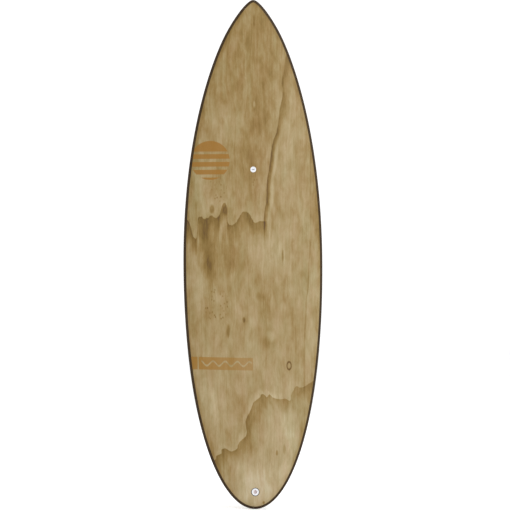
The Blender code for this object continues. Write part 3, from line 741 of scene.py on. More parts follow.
# Change of tone made by each part of the figures.
FIGURE_TONES = {
    "band": -0.46, "rule": -0.02, "strip": 0.18, "shore": -0.42, "tail": -0.30, "rim": 0.16,
    "line": -0.14, "beside": 0.12, "pale_strip": 0.10,
}
DECK_TONE = 0.52
# Painted shade: the deck is darkened beside the rails, where its surface curves away from the light.
RAIL_PAINTED_SHADE = -0.14

# Soft lighter and darker areas of the deck, partly the wood's own tone and partly painted light and shade
# for how the light falls across it: centre, radii and change of tone.
DECK_TONE_AND_PAINTED_LIGHT = (
    ((0.000, 1.720), (0.26, 0.36), -0.10),
    ((0.010, 1.130), (0.06, 0.34), -0.05),
    ((0.010, 1.440), (0.11, 0.13), -0.14),
    ((0.130, 1.400), (0.06, 0.26), 0.16),
    ((0.140, 1.560), (0.03, 0.14), 0.14),
    ((-0.210, 1.200), (0.07, 0.12), 0.10),
    ((-0.020, 1.290), (0.07, 0.13), -0.10),
    ((0.020, 0.960), (0.07, 0.20), 0.20),
    ((-0.020, 0.540), (0.30, 0.22), 0.10),
    ((0.090, 0.330), (0.14, 0.24), 0.20),
    ((0.000, 0.120), (0.16, 0.20), 0.14),
    ((-0.075, 0.170), (0.05, 0.07), 0.20),
    ((0.105, 0.130), (0.04, 0.09), 0.24),
    ((-0.040, 0.040), (0.06, 0.05), 0.16),
    ((-0.200, 0.790), (0.03, 0.10), 0.16),
    ((-0.160, 1.120), (0.09, 0.06), 0.12),
    ((0.115, 1.060), (0.09, 0.26), 0.12),
    ((-0.163, 0.895), (0.042, 0.11), -0.28),
    ((-0.180, 0.990), (0.034, 0.11), -0.20),
    ((-0.152, 1.000), (0.06, 0.10), -0.14),
    ((-0.099, 0.915), (0.030, 0.07), -0.16),
    ((-0.156, 0.800), (0.05, 0.06), 0.10),
    ((0.150, 0.900), (0.10, 0.30), 0.06),
    ((-0.150, 0.400), (0.09, 0.15), 0.26),
    ((0.020, 0.080), (0.16, 0.13), 0.30),
    ((0.120, 0.230), (0.07, 0.16), 0.18),
    ((-0.030, 0.310), (0.030, 0.10), -0.06),
    ((0.024, 0.787), (0.034, 0.026), -0.18),
    ((0.050, 0.615), (0.050, 0.036), -0.20),
)
# Small marks: centre, radii and change of tone.
DECK_MARKS = (
    ((0.0126, 1.4064), (0.030, 0.050), -0.16),
    ((0.0039, 1.4975), (0.006, 0.016), 0.22),
    ((0.0033, 1.8028), (0.005, 0.030), -0.20),
    ((-0.0450, 1.7480), (0.010, 0.040), -0.16),
    ((-0.1532, 1.1117), (0.012, 0.022), -0.34),
    ((-0.1040, 1.1060), (0.014, 0.026), -0.22),
    ((-0.1215, 1.0200), (0.010, 0.050), 0.14),
    ((-0.0373, 0.7001), (0.007, 0.014), -0.34),
    ((-0.0956, 0.6600), (0.009, 0.032), -0.26),
    ((0.1084, 0.9360), (0.006, 0.030), -0.26),
    ((-0.0030, 0.7100), (0.022, 0.060), 0.14),
    ((0.0626, 0.6400), (0.018, 0.030), 0.14),
    ((0.1091, 0.7397), (0.014, 0.040), 0.14),
    ((0.0819, 0.2073), (0.006, 0.014), -0.34),
    ((0.1093, 0.2200), (0.007, 0.026), -0.26),
    ((0.0307, 0.0243), (0.006, 0.008), -0.40),
)
RAIL_STATIONS = (
    0.002, 0.03, 0.10, 0.25, 0.45, 0.70, 0.95, 1.20, 1.40, 1.55, 1.68, 1.78, 1.84, 1.87,
)
RAIL_REACH = (0.032, 0.008)    # the rails' shade starts and is full at these distances from the edge
KNOT = ((0.1295, 0.5293), (0.0080, 0.0140))
KNOT_TONE = -0.50
# Areas with dark specks, with fine combed lines, and with a pink or green cast: centre, radii, strength.
SPECKLED = (
    ((-0.135, 0.755), (0.060, 0.090), -0.40), ((-0.130, 1.180), (0.045, 0.060), -0.40),
    ((0.000, 1.215), (0.020, 0.030), -0.40),
)
COMBED = (((0.118, 1.180), (0.030, 0.110), 0.10), ((0.112, 0.900), (0.022, 0.120), 0.10))
COMB_WAVES = 1150.0       # radians per metre
PINKISH = (((-0.055, 0.400), (0.060, 0.160), 0.45), ((0.020, 1.300), (0.050, 0.300), 0.45))
GREENISH = (
    ((-0.215, 1.200), (0.060, 0.300), 0.55), ((0.150, 0.300), (0.060, 0.200), 0.55),
    ((0.205, 0.900), (0.050, 0.300), 0.55),
)
OCHRE = ((-0.165, 0.915), (0.070, 0.180))     # area without a pink cast
PINK_CAST = (1.03, 0.97, 1.02, 1.0)
GREEN_CAST = (0.93, 1.00, 0.97, 1.0)
# Strengths of the fibres' mottle, streaks, hairs and drifts.
DECK_GRAIN = (0.22, 0.10, 0.09, 0.15)
BANDED_GRAIN = (0.10, 0.20, 0.20, 0.0)
FIBRE_RELIEF = 0.00003
VENEER_GLOSS = (0.48, 0.05, 0.3)              # roughness, its spread along the hairs, and specular
BOTTOM_TONE = 0.60
BOTTOM_OVAL = ((0.03, 0.72), (0.060, 0.52))


def grain(g, x, z, seed):
    """Noises made by the fibres, all longer along the board: mottle, streaks, hairs and wide drifts."""
    x = g.blend(x, g.noise(g.over(x, z, (14.0, 5.0), seed)), 0.010)
    mottle = g.noise(g.over(x, z, (50.0, 17.0), seed + 3.0), 5.0, 0.62)
    streaks = g.noise(g.over(x, z, (190.0, 5.0), seed + 7.0), 3.0)
    hairs = g.noise(g.over(x, z, (1100.0, 40.0), seed + 11.0), 3.0, 0.6)
    drifts = g.noise(g.over(x, z, (17.0, 6.0), seed + 15.0))
    return mottle, streaks, hairs, drifts


def with_grain(g, tone, fibres, amounts):
    """Tone with the noises of the fibres added."""
    for noise, amount in zip(fibres, amounts):
        tone = g.blend(tone, noise, amount)
    return tone


def wood_finish(g, colour, fibres, roughness, spread, specular):
    """Wood's shader, with relief along its streaks and hairs."""
    _, streaks, hairs, _ = fibres
    g.bump(g.add(streaks, hairs), FIBRE_RELIEF)
    return g.finish(colour, g.blend(roughness, hairs, spread), specular=specular)


def edge_shade(g, beyond, softness=0.03):
    """1 just beyond an edge, fading away over a distance of 1, and 0 on the near side."""
    inside = g.step(beyond, -softness, softness)
    near = g.math("EXPONENT", g.mul(g.math("MAXIMUM", beyond, 0.0), -9.0))
    return g.mul(inside, g.blend(g.mul(g.step(beyond, 1.25, 0.10), 0.68), near, 0.32))


def upper_figure(g, ragged):
    """Shade beyond the two edges of the upper figure, and the pale strip that follows one of them."""
    off_edge = g.sub(g.x, g.blend(g.line(g.z, UPPER_EDGE), ragged, 0.0008))
    width = g.line(g.z, BAND_WIDTH)
    band = edge_shade(g, g.math("DIVIDE", off_edge, g.mul(width, BAND_REACH)), 0.06)
    band_ends = g.mul(g.step(g.z, 0.96, 1.08), g.step(g.z, 1.50, 1.60, 1.0, 0.45))
    rule = g.step(g.gap(off_edge, RULE_PLACE), 0.0018, 0.0004)
    strip = g.step(g.gap(off_edge, g.add(width, STRIP_BESIDE)), 0.010, 0.002)
    below = g.sub(g.blend(g.line(g.x, UPPER_SHORE), ragged, 0.0030), g.z)
    shore = edge_shade(g, g.math("DIVIDE", below, SHORE_REACH))
    return {
        "band": g.mul(band, band_ends),
        "rule": g.mul(rule, g.step(g.z, 1.055, 1.075)),
        "strip": g.mul(strip, g.step(g.z, 1.40, 1.30), g.step(g.z, 0.94, 1.04)),
        "shore": g.mul(shore, g.step(g.x, 0.056, 0.034)),
    }


def tail_figure(g, ragged):
    """Shade under the upper edge of the lower figure, and the pale rim just outside that edge."""
    cosine, sine = math.cos(TAIL_TURN), math.sin(TAIL_TURN)
    edge = [(x * cosine + z * sine, z * cosine - x * sine) for x, z in TAIL_SHORE]
    along, up = g.turned_axes(g.x, g.z, TAIL_TURN)
    under = g.sub(g.blend(g.line(along, edge), ragged, 0.0016), up)
    rim = g.mul(g.step(under, -0.032, -0.006), g.step(under, 0.0008, -0.0010))
    return {
        "tail": edge_shade(g, g.math("DIVIDE", under, TAIL_REACH)),
        "rim": g.mul(rim, g.step(g.x, 0.150, 0.050)),
    }


def side_figure(g):
    """Growth line on the right, the paler wood beside it, and the pale strip left of the lobe."""
    off_line = g.sub(g.x, g.line(g.z, SIDE_LINE))
    line = g.step(g.math("ABSOLUTE", off_line), 0.0030, 0.0008)
    pale_strip = g.step(g.sub(g.x, g.line(g.z, LOBE_BORDER)), 0.003, -0.003)
    return {
        "line": g.mul(line, g.step(g.z, 0.49, 0.58)),
        "beside": g.mul(g.step(off_line, 0.0, 0.006), g.step(g.z, 1.02, 0.86)),
        "pale_strip": g.mul(pale_strip, g.area(*LOBE, core=0.7)),
    }


def deck_figure(g):
    """Change of tone made by the large figures."""
    ragged = g.noise(g.over(g.x, g.z, (170.0, 60.0), 21.0))
    parts = {**upper_figure(g, ragged), **tail_figure(g, ragged), **side_figure(g)}
    tone = 0.0
    for name, amount in FIGURE_TONES.items():
        tone = g.blend(tone, parts[name], amount)
    return tone


def small_marks(g):
    """Change of tone made by specks, combed lines and the knot."""
    cells = g.cells(g.point(g.mul(g.x, 74.0), g.mul(g.z, 46.0), 0.0), dimensions="2D")
    uneven = g.step(g.noise(g.over(g.x, g.z, (55.0, 30.0), 66.0)), -0.5, 0.6)
    tone = g.mul(g.step(cells, 0.24, 0.08), uneven, g.areas(0.0, SPECKLED, 0.5))
    wander = g.noise(g.over(g.x, g.z, (30.0, 6.0), 61.0))
    comb = g.math("SINE", g.blend(g.mul(g.x, COMB_WAVES), wander, 1.5))
    tone = g.blend(tone, comb, g.areas(0.0, COMBED, 0.3))
    ring = g.gap(g.distance(*KNOT), 1.0)
    return g.blend(tone, g.step(ring, 0.42, 0.06), KNOT_TONE)


def deck_hue(g, colour):
    """Colour given a pink or a green cast, by area as well as in small patches."""
    patches = g.noise(g.over(g.x, g.z, (30.0, 9.0), 33.0), 3.0)
    green = g.math("MAXIMUM", g.areas(g.mul(patches, 0.70), GREENISH, 0.2), 0.0, clamp=True)
    pink = g.math("MAXIMUM", g.mul(patches, -0.90), 0.0, clamp=True)
    pink = g.math("MINIMUM", g.areas(pink, PINKISH, 0.2), 1.0)
    pink = g.mul(pink, g.step(g.distance(*OCHRE), 0.6, 1.0))
    colour = g.mix(green, colour, GREEN_CAST, "MULTIPLY")
    return g.mix(pink, colour, PINK_CAST, "MULTIPLY")


def rail_painted_shade(g):
    """Painted shade: 1 beside the rails, where the deck curves away from the light, fading inwards."""
    edge = g.line(g.z, [(z, float(half_width(z))) for z in RAIL_STATIONS])
    return g.step(g.sub(edge, g.math("ABSOLUTE", g.x)), *RAIL_REACH)


def deck_veneer():
    """Deck skin: figured veneer with its painted roundel and bar, under a satin finish, with painted shade
    beside the rails and painted light and shade in some soft areas.
    """
    g = Graph("deck_veneer")
    fibres = grain(g, g.x, g.z, 2.0)
    # The rail term is painted shade along both rails.
    tone = g.add(g.add(deck_figure(g), small_marks(g)), g.blend(DECK_TONE, rail_painted_shade(g), RAIL_PAINTED_SHADE))
    # Painted light and shade: some of these soft areas stand in for how the light falls across the deck;
    # the rest are the wood's own tone.
    tone = g.areas(g.areas(tone, DECK_TONE_AND_PAINTED_LIGHT, 0.0), DECK_MARKS, 0.4)
    tone = with_grain(g, tone, fibres, DECK_GRAIN)
    colour = deck_graphics(g, deck_hue(g, g.ramp(tone, VENEER_TONES)))
    return wood_finish(g, colour, fibres, *VENEER_GLOSS)


# ---------------------------------------------------------------- painted graphics

ROUNDEL = (-0.159, 1.2915)
ROUNDEL_RADIUS = 0.072
ROUNDEL_STRIPES = 5.0
ROUNDEL_GAP = (0.22, 0.18)         # half of a gap, as shares of a stripe: where it starts and is bare
ROUNDEL_FIRST_GAP = (0.25, 0.30)   # shares of the roundel's height that have no gap above them
ROUNDEL_COVER = 0.85
BAR_MIDDLE = (-0.1192, 0.5391)
BAR_HALF = (0.1145, 0.0232)
BAR_TILT = math.radians(-1.6)
BAR_DIVIDER = -0.2072
BAR_COVER = ((-0.235, 0.88), (-0.005, 0.52))     # (x, cover) at its left and right ends
WAVE_HEIGHT = 0.0085
WAVE_LENGTH = 0.045
WAVE_HALF_WIDTH = 0.0036
WAVE_ENDS = (-0.1955, -0.0095)
WAVE_END_SOFTNESS = 0.0015
SOFT = 0.0010             # softness of a painted edge


def striped_sun(g):
    """Mask of a disc cut by level gaps."""
    disc = g.step(g.distance(ROUNDEL, (ROUNDEL_RADIUS, ROUNDEL_RADIUS)), 1.012, 0.988)
    drop = g.math("DIVIDE", g.sub(ROUNDEL[1] + ROUNDEL_RADIUS, g.z), 2 * ROUNDEL_RADIUS)
    phase = g.math("FRACT", g.mul(drop, ROUNDEL_STRIPES))
    gap = g.mul(g.step(g.gap(phase, 0.5), *ROUNDEL_GAP), g.step(drop, *ROUNDEL_FIRST_GAP))
    return g.mul(disc, g.sub(1.0, gap))


def painted_bar(g):
    """Mask of a slightly tilted bar, with a divider and a wavy line left in bare wood."""
    along, up = g.turned_axes(g.sub(g.x, BAR_MIDDLE[0]), g.sub(g.z, BAR_MIDDLE[1]), BAR_TILT)
    inside = 1.0
    for place, half in zip((along, up), BAR_HALF):
        inside = g.mul(inside, g.step(g.sub(g.math("ABSOLUTE", place), half), SOFT, -SOFT))
    divider = g.step(g.gap(g.x, BAR_DIVIDER), 0.0030, 0.0015)
    wave = g.mul(g.math("SINE", g.mul(along, 2 * math.pi / WAVE_LENGTH)), WAVE_HEIGHT)
    line = g.step(g.gap(up, wave), WAVE_HALF_WIDTH + SOFT, WAVE_HALF_WIDTH - SOFT)
    for end, sign in zip(WAVE_ENDS, (1, -1)):
        soft = sign * WAVE_END_SOFTNESS
        line = g.mul(line, g.step(g.x, end - soft, end + soft))
    return g.mul(inside, g.sub(1.0, g.math("MAXIMUM", divider, line)))


def deck_graphics(g, colour):
    """Thin translucent paint over the wood, so that the grain shows through."""
    colour = g.mix(g.mul(striped_sun(g), ROUNDEL_COVER), colour, tint(123, 83, 12))
    (left, most), (right, least) = BAR_COVER
    cover = g.span(g.x, left, right, most, least)
    return g.mix(g.mul(painted_bar(g), cover), colour, tint(124, 87, 20))


def bottom_veneer():
    """Bottom skin: the same wood from another sheet, with a long oval figure."""
    g = Graph("bottom_veneer")
    fibres = grain(g, g.x, g.z, 40.0)
    drift = g.mul(g.noise(g.over(g.x, g.z, (7.0, 1.1), 55.0), 3.0), 0.16)
    rings = g.add(g.distance(*BOTTOM_OVAL), drift)
    beyond = g.math("DIVIDE", g.math("FRACT", g.mul(rings, 1.25)), 0.30)
    tone = with_grain(g, g.blend(BOTTOM_TONE, edge_shade(g, beyond), -0.26), fibres, DECK_GRAIN)
    return wood_finish(g, g.ramp(tone, VENEER_TONES), fibres, *VENEER_GLOSS)


def banded_wood(name, tones, seed, roughness):
    """Straight-grained wood that runs along the board."""
    g = Graph(name)
    fibres = grain(g, g.add(g.x, g.mul(g.y, 0.7)), g.z, seed)
    tone = with_grain(g, 0.5, fibres, BANDED_GRAIN)
    return wood_finish(g, g.ramp(tone, tones), fibres, roughness, 0.06, 0.12)


# ---------------------------------------------------------------- plastics, resin, metal and foams

WEAVE_WAVES = 2600.0      # radians per metre


def moulded_plastic():
    """White moulded plastic with a faint mottle and a fine pebble, with painted light in the leash cup's
    hollow and painted shade in the vent screw's slot.
    """
    g = Graph("white_plastic")
    mottle = g.noise(g.place, 3.0, scale=160.0)
    pebble = g.cells(g.place, 2600.0)
    # Painted light: the leash cup's hollow is painted nearly white with a faint pink cast.
    cup_painted_light = g.step(g.distance((0.0, LEASH_STATION), (LEASH_CAVITY, LEASH_CAVITY)), 1.06, 1.02)
    width, length, _ = VENT_SLOT
    # Painted shade: the vent screw's slot is painted dark blue-grey, where shade falls in it.
    slot = g.step(g.gap(g.z, VENT_STATION), 0.60 * length, 0.45 * length)
    slot = g.mul(slot, g.step(g.math("ABSOLUTE", g.x), 0.52 * width, 0.45 * width))
    colour = g.between(g.blend(0.5, mottle, 0.5), (186, 188, 192), (206, 208, 212))
    colour = g.mix(cup_painted_light, colour, tint(252, 240, 240))
    colour = g.mix(slot, colour, tint(70, 74, 104))
    g.bump(pebble, 0.00002)
    return g.finish(colour, g.blend(0.40, mottle, 0.08))


def casting_resin():
    """Dark pigmented resin with small bubbles."""
    g = Graph("dark_resin")
    bubbles = g.step(g.cells(g.place, 1500.0), 0.10, 0.25)
    g.bump(bubbles, 0.00004)
    return g.finish(g.between(bubbles, (72, 62, 48), (46, 39, 30)), 0.35)


def brushed_steel():
    """Bright steel with fine lines across it and faint staining."""
    g = Graph("steel")
    lines = g.noise(g.over(g.x, g.z, (6000.0, 300.0), 5.0), 3.0)
    stain = g.noise(g.place, 3.0, scale=240.0)
    g.bump(lines, 0.000008)
    colour = g.between(g.blend(0.6, stain, 0.4), (168, 164, 160), (206, 206, 208))
    return g.finish(colour, g.blend(0.34, lines, 0.08), metallic=1.0)


def seal_rubber():
    """Black rubber with a dusty bloom."""
    g = Graph("rubber")
    bloom = g.noise(g.place, 4.0, scale=900.0)
    g.bump(bloom, 0.00002)
    return g.finish(g.between(g.blend(0.4, bloom, 0.4), (22, 22, 23), (58, 58, 60)), 0.7)


def bead_foam(name, dark, light, cells_per_metre):
    """Expanded bead foam with a dark line round each bead."""
    g = Graph(name)
    wall = g.step(g.cells(g.place, cells_per_metre, "DISTANCE_TO_EDGE"), 0.0, 0.14)
    tone = g.blend(wall, g.noise(g.place, 3.0, scale=cells_per_metre / 8), 0.12)
    g.bump(wall, 0.0002)
    return g.finish(g.between(tone, dark, light), 0.85)


def glass_composite():
    """Dark fin laminate: woven cloth under clear resin."""
    g = Graph("fin_composite")
    warp, weft = [g.math("SINE", g.mul(place, WEAVE_WAVES)) for place in (g.y, g.z)]
    weave = g.mul(warp, weft)
    cloud = g.noise(g.place, 3.0, scale=60.0)
    tone = g.blend(g.blend(0.42, weave, 0.22), cloud, 0.16)
    g.bump(weave, 0.00002)
    colour = g.between(tone, (24, 26, 28), (66, 70, 74))
    return g.finish(colour, g.blend(0.32, cloud, 0.05), coat=0.5, coat_roughness=0.06)


def make_looks():
    """Every material, by the name of its slot in the record."""
    made = [
        deck_veneer(), bottom_veneer(), banded_wood("dark_rail_wood", BAND_TONES, 71.0, 0.45),
        banded_wood("balsa", BALSA_TONES, 90.0, 0.7), moulded_plastic(), casting_resin(), brushed_steel(),
        seal_rubber(), glass_composite(),
        bead_foam("foam", (206, 204, 196), (240, 239, 233), 260.0),
        bead_foam("dense_foam", (150, 176, 190), (186, 208, 220), 700.0),
    ]
    return {material.name.removesuffix(LOOK): material for material in made}


# ---------------------------------------------------------------- skins and rails

def make_skins_and_rails(looks, leash, vent, fins):
    """The two skins, opened for the plugs and the fin boxes, and the two rail bands."""
    rows = skin_rows()
    deck = slab("deck_skin", rows, deck_height, deck_glue_face, False)
    openings = [
        cylinder("leash_opening", COLLAR_OUTER + HAIRLINE, -CUT_REACH, CUT_REACH, leash),
        cylinder("vent_opening", VENT_FLANGE + HAIRLINE, -CUT_REACH, CUT_REACH, vent),
    ]
    add_piece("deck_skin", shaped(deck, openings), looks["deck_veneer"])
    bottom = slab("bottom_skin", rows, bottom_glue_face, bottom_height, False)
    size = [side + 2 * HAIRLINE for side in BOX_SIZE[:2]]
    openings = []
    for word, _, frame in fins:
        corner = BOX_CORNER + HAIRLINE
        openings.append(block("box_opening_" + word, size, corner, -CUT_REACH, CUT_REACH, frame))
    add_piece("bottom_skin", shaped(bottom, openings), looks["bottom_veneer"])
    for side, word in ((-1, "left"), (1, "right")):
        band = slab("rail_band_" + word, band_rows(side), deck_height, bottom_height, True)
        add_piece("rail_band_" + word, band, looks["dark_rail_wood"])


# ---------------------------------------------------------------- plugs

def make_leash_plug(looks, frame):
    """Cup with a rounded rim, the bar across it and the resin round it."""
    floor = LEASH_FLOOR - LEASH_DEPTH
    shell = fillet((
        (0.0, -LEASH_DEPTH, 0), (LEASH_BODY, -LEASH_DEPTH, LEASH_FOOT_ROUND), (LEASH_BODY, -SKIN, 0),
        (LEASH_RIM, -SKIN, LEASH_FLANGE_ROUND), (LEASH_RIM, 0.0, LEASH_RIM_ROUND),
        (LEASH_CAVITY, 0.0, LEASH_MOUTH_ROUND), (LEASH_CAVITY, floor, LEASH_FLOOR_ROUND), (0.0, floor, 0),
    ))
    bore = rod("leash_bar_bore", LEASH_BAR + HAIRLINE, LEASH_BAR_REACH + HAIRLINE, 0.0, frame)
    cup = shaped(turned("leash_plug_cup", shell, frame), [bore])
    add_piece("leash_plug_cup", cup, looks["white_plastic"])
    bar = rod("leash_plug_bar", LEASH_BAR, LEASH_BAR_REACH, LEASH_BAR_EDGE, frame)
    add_piece("leash_plug_bar", bar, looks["steel"])
    inner = LEASH_RIM + HAIRLINE
    ring = fillet((
        (inner, -SKIN, 0), (COLLAR_OUTER, -SKIN, 0), (COLLAR_OUTER, 0.0, COLLAR_ROUND),
        (inner, 0.0, COLLAR_ROUND),
    ))
    add_piece("leash_plug_collar", turned("leash_plug_collar", ring, frame), looks["dark_resin"])


def rod(name, radius, half_length, edge, frame, sides=32):
    """Rod along the local X axis at the depth of the leash bar, with eased ends."""
    stations = [(-half_length, radius - edge), (edge - half_length, radius)]
    stations += [(-x, r) for x, r in stations[::-1]]
    if edge == 0.0:
        stations = [stations[0], stations[-1]]
    loops = []
    for x, r in stations:
        loops.append([Vector((x, p.x, p.y - LEASH_BAR_DEPTH)) for p in circle(r, 0.0, sides)])
    return loft(name, loops, frame)


def threaded_shank(name, frame, sides=48, rows_per_turn=8):
    """Screw shank with a real thread, from under the head to its chamfered end."""
    top, bottom = SHANK_OVERLAP - VENT_HEAD_DEPTH, -VENT_SHANK_END
    turns = (top - bottom) / THREAD_PITCH
    heights = np.linspace(bottom, top, int(turns * rows_per_turn) + 1)
    angles = np.linspace(0.0, 2 * math.pi, sides + 1)[:, None]
    phase = (heights / THREAD_PITCH - angles / (2 * math.pi)) % 1.0
    groove = THREAD_DEPTH * (1 - np.abs(2 * phase - 1))
    taper = np.clip((heights - bottom) / THREAD_CHAMFER, 0.0, 1.0)
    radius = (VENT_SHANK - groove) * (THREAD_TIP_SHARE + (1 - THREAD_TIP_SHARE) * taper)
    radius[:, -1] = VENT_SHANK - THREAD_DEPTH
    points = np.stack((radius * np.cos(angles), radius * np.sin(angles), heights + 0 * angles), -1)
    ends = np.zeros((sides + 1, 1, 3))
    return grid_mesh(name, np.concatenate((ends + (0, 0, bottom), points, ends + (0, 0, top)), 1), frame)


def make_vent_plug(looks, frame):
    """Vent body, its slotted and threaded screw, and the sealing ring."""
    pocket = VENT_HEAD + VENT_POCKET_GAP
    body = fillet((
        (VENT_FLANGE, -SKIN, 0), (VENT_FLANGE, 0.0, VENT_RIM_ROUND), (pocket, 0.0, VENT_POCKET_ROUND),
        (pocket, -VENT_SEAT, 0), (VENT_BORE, -VENT_SEAT, 0), (VENT_BORE, -VENT_DEPTH, VENT_MOUTH_ROUND),
        (VENT_STEM, -VENT_DEPTH, VENT_FOOT_ROUND), (VENT_STEM, -SKIN, 0),
    ))
    add_piece("vent_plug_body", turned("vent_plug_body", body, frame), looks["white_plastic"])

    under, top = VENT_HEAD_ROUNDS
    profile = fillet((
        (0.0, -VENT_HEAD_DEPTH, 0), (VENT_HEAD, -VENT_HEAD_DEPTH, under), (VENT_HEAD, 0.0, top),
        (0.0, 0.0, 0),
    ))
    head = turned("vent_screw_head", profile, frame)
    screw = shaped(head, [threaded_shank("vent_screw_shank", frame)], "UNION")
    width, length, depth = VENT_SLOT
    slot = block("vent_slot", (width, length), VENT_SLOT_CORNER, -depth, CUT_REACH, frame)
    add_piece("vent_screw", shaped(screw, [slot]), looks["white_plastic"], "vent_screw")

    middle = (VENT_SEAL_INNER + VENT_HEAD) / 2
    radius = (VENT_HEAD - VENT_SEAL_INNER) / 2
    height = -VENT_HEAD_DEPTH - VENT_POCKET_GAP - VENT_SEAL / 2
    steps = [2 * math.pi * k / SEAL_SIDES for k in range(SEAL_SIDES)]
    ring = [(middle + radius * math.cos(a), height + VENT_SEAL / 2 * math.sin(a)) for a in steps]
    add_piece("vent_seal", turned("vent_seal", ring, frame), looks["rubber"], "vent_seal")


# ---------------------------------------------------------------- fins

def foil(place):
    """Half thickness of a streamlined section of unit thickness, place from 0 (front) to 1."""
    curve = 2.969 * math.sqrt(place) - 1.26 * place - 3.516 * place ** 2
    return (curve + 2.843 * place ** 3 - 1.036 * place ** 4) / 2


def fin_section(rise, bias, outboard, places):
    """Loop of points round the blade at a share of its depth; the tip closes in a small round."""
    height = FIN_LIFT + BLADE_START + rise * FIN_DEPTH
    front = FIN_BASE / 2 - FIN_FRONT[0] * rise - FIN_FRONT[1] * rise ** FIN_FRONT[2]
    back = -FIN_BASE / 2 + FIN_BACK[0] * rise - FIN_BACK[1] * rise ** FIN_BACK[2]
    closing = math.sqrt(max(1 - (max(rise - FIN_TIP_START, 0.0) / FIN_TIP_SPAN) ** 2, 0.0))
    middle = (front + back) / 2
    reach = (front - back) / 2 * (FIN_TIP_CHORD + (1 - FIN_TIP_CHORD) * closing)
    thick = FIN_THICKNESS * (1 - FIN_TAPER * rise) * max(closing, FIN_TIP_THICKNESS)
    lean = outboard * (height * math.tan(FIN_CANT) * (bias > 0) - bias * FIN_THICKNESS)
    sides = []
    for sign in (1, -1):
        share = thick * (0.5 + sign * bias) * 2
        chord = []
        for p in places:
            edge = FIN_EDGE * min(1.0, math.sqrt(p / FIN_NOSE_SPAN)) * max(closing, FIN_TIP_EDGE)
            chord.append((foil(p) * share + edge, middle + reach * (1 - 2 * p)))
        sides.append([Vector((outboard * sign * x + lean, y, height)) for x, y in chord])
    return sides[0] + sides[1][:0:-1]


def make_fin(looks, word, side, frame):
    """Foiled blade with its foot and tabs, in one piece."""
    outboard = -side if side else 1
    bias = FIN_BIAS if side else 0.0
    places = [(1 - math.cos(math.pi * k / FOIL_STEPS)) / 2 for k in range(FOIL_STEPS + 1)]
    rises = [FIN_TIP_START * k / BLADE_STEPS for k in range(BLADE_STEPS + 1)]
    rises += [FIN_TIP_START + (1 - FIN_TIP_START) * share for share in FIN_TIP_RISES]
    blade = loft("fin_" + word, [fin_section(r, bias, outboard, places) for r in rises], frame)
    top = FIN_LIFT + FOOT_HEIGHT
    foot = pillow_loops(*FOOT_SIZE, FOOT_CORNER, FIN_LIFT, top, FOOT_EDGE)
    tools = [loft("foot_" + word, foot, frame)]
    for end, along in TABS:
        upside_down = pillow_loops(*TAB_SIZE[:2], TAB_CORNER, -top / 2, TAB_SIZE[2], TAB_EDGE)
        tab = [[Vector((p.x, p.y + along, -p.z)) for p in loop] for loop in upside_down]
        tools.append(loft("tab_" + end, tab, frame))
    add_piece("fin_" + word, shaped(blade, tools, "UNION"), looks["fin_composite"], word + "_fin")


def grub_frame(along, inboard):
    """Matrix, in the box's frame, whose Z axis runs up the screw and out of the box."""
    outward = Vector((inboard * math.sin(GRUB_ANGLE), 0.0, math.cos(GRUB_ANGLE)))
    side = Vector((0.0, 1.0, 0.0))
    axes = Matrix((side.cross(outward), side, outward)).transposed().to_4x4()
    return Matrix.Translation((inboard * GRUB_START, along, 0.0)) @ axes


def make_grub(looks, label, frame):
    """Set screw with a cone point and a hexagon socket."""
    head, shoulder, tip = (-depth for depth in GRUB_SPAN)
    corners = (
        (GRUB_TIP_RADIUS, tip), (GRUB_RADIUS, shoulder), (GRUB_RADIUS, head - GRUB_EDGE),
        (GRUB_RADIUS - GRUB_EDGE, head),
    )
    loops = [circle(radius, z, SCREW_SIDES) for radius, z in corners]
    screw = loft("fin_screw_" + label, loops, frame)
    corner = GRUB_SOCKET / math.cos(math.pi / 6)
    socket = cylinder("socket_" + label, corner, head - GRUB_SOCKET_DEPTH, CUT_REACH, frame, 6)
    add_piece("fin_screw_" + label, shaped(screw, [socket]), looks["steel"])


def make_fin_box(looks, word, side, frame):
    """The box that a fin's tabs slide into, and its two set screws."""
    outboard = -side if side else 1
    width, length, depth = BOX_SIZE
    outside = pillow_loops(width, length, BOX_CORNER, -depth, -BOX_DROP, BOX_EDGE)
    box = loft("fin_box_" + word, outside, frame)
    room = [size + 2 * TAB_CLEARANCE for size in TAB_SIZE[:2]]
    tools = []
    for end, along in TABS:
        slot_frame = frame @ Matrix.Translation((0.0, along, 0.0))
        tools.append(block("slot_" + end, room, TAB_CORNER, -TAB_ROOM, CUT_REACH, slot_frame))
        screw_frame = frame @ grub_frame(along, -outboard)
        tools.append(cylinder("bore_" + end, GRUB_BORE, *GRUB_BORE_SPAN, screw_frame))
        make_grub(looks, word + "_" + end, screw_frame)
    add_piece("fin_box_" + word, shaped(box, tools), looks["white_plastic"])


def fin_frames():
    """Frames of the centre fin and of the two side fins on the bottom."""
    middle = FIN_REAR_CENTRE + FIN_BASE / 2
    frames = [("centre", 0, surface_frame(bottom_height, -1.0, 0.0, middle))]
    rear = float(half_width(FIN_REAR_SIDE)) - FIN_FROM_RAIL
    across_middle = rear - FIN_BASE / 2 * math.sin(FIN_TOE)
    along_middle = FIN_REAR_SIDE + FIN_BASE / 2 * math.cos(FIN_TOE)
    for word, side in (("left", -1), ("right", 1)):
        frame = surface_frame(bottom_height, -1.0, side * across_middle, along_middle, -side * FIN_TOE)
        frames.append((word, side, frame))
    return frames


# ---------------------------------------------------------------- studio

AIM = Vector((0.0052, 0.0, 0.9405))
CAMERA_AZIMUTH = math.radians(-4.0)
CAMERA_ROLL = math.radians(-0.377)
CAMERA_DISTANCE = 12.0
VIEW_HEIGHT = 1.8888
SENSOR = 36.0
FLOOR_SIZE = 40.0
FLOOR_SHADES = (0.88, 0.90)
WORLD_STRENGTH = 1.15
CLIP_END = 100.0
LIGHTS = (
    ("key", (3.6, -5.4, 4.2), 4.0, 300.0),
    ("back", (-3.6, 5.0, 3.4), 4.0, 190.0),
)


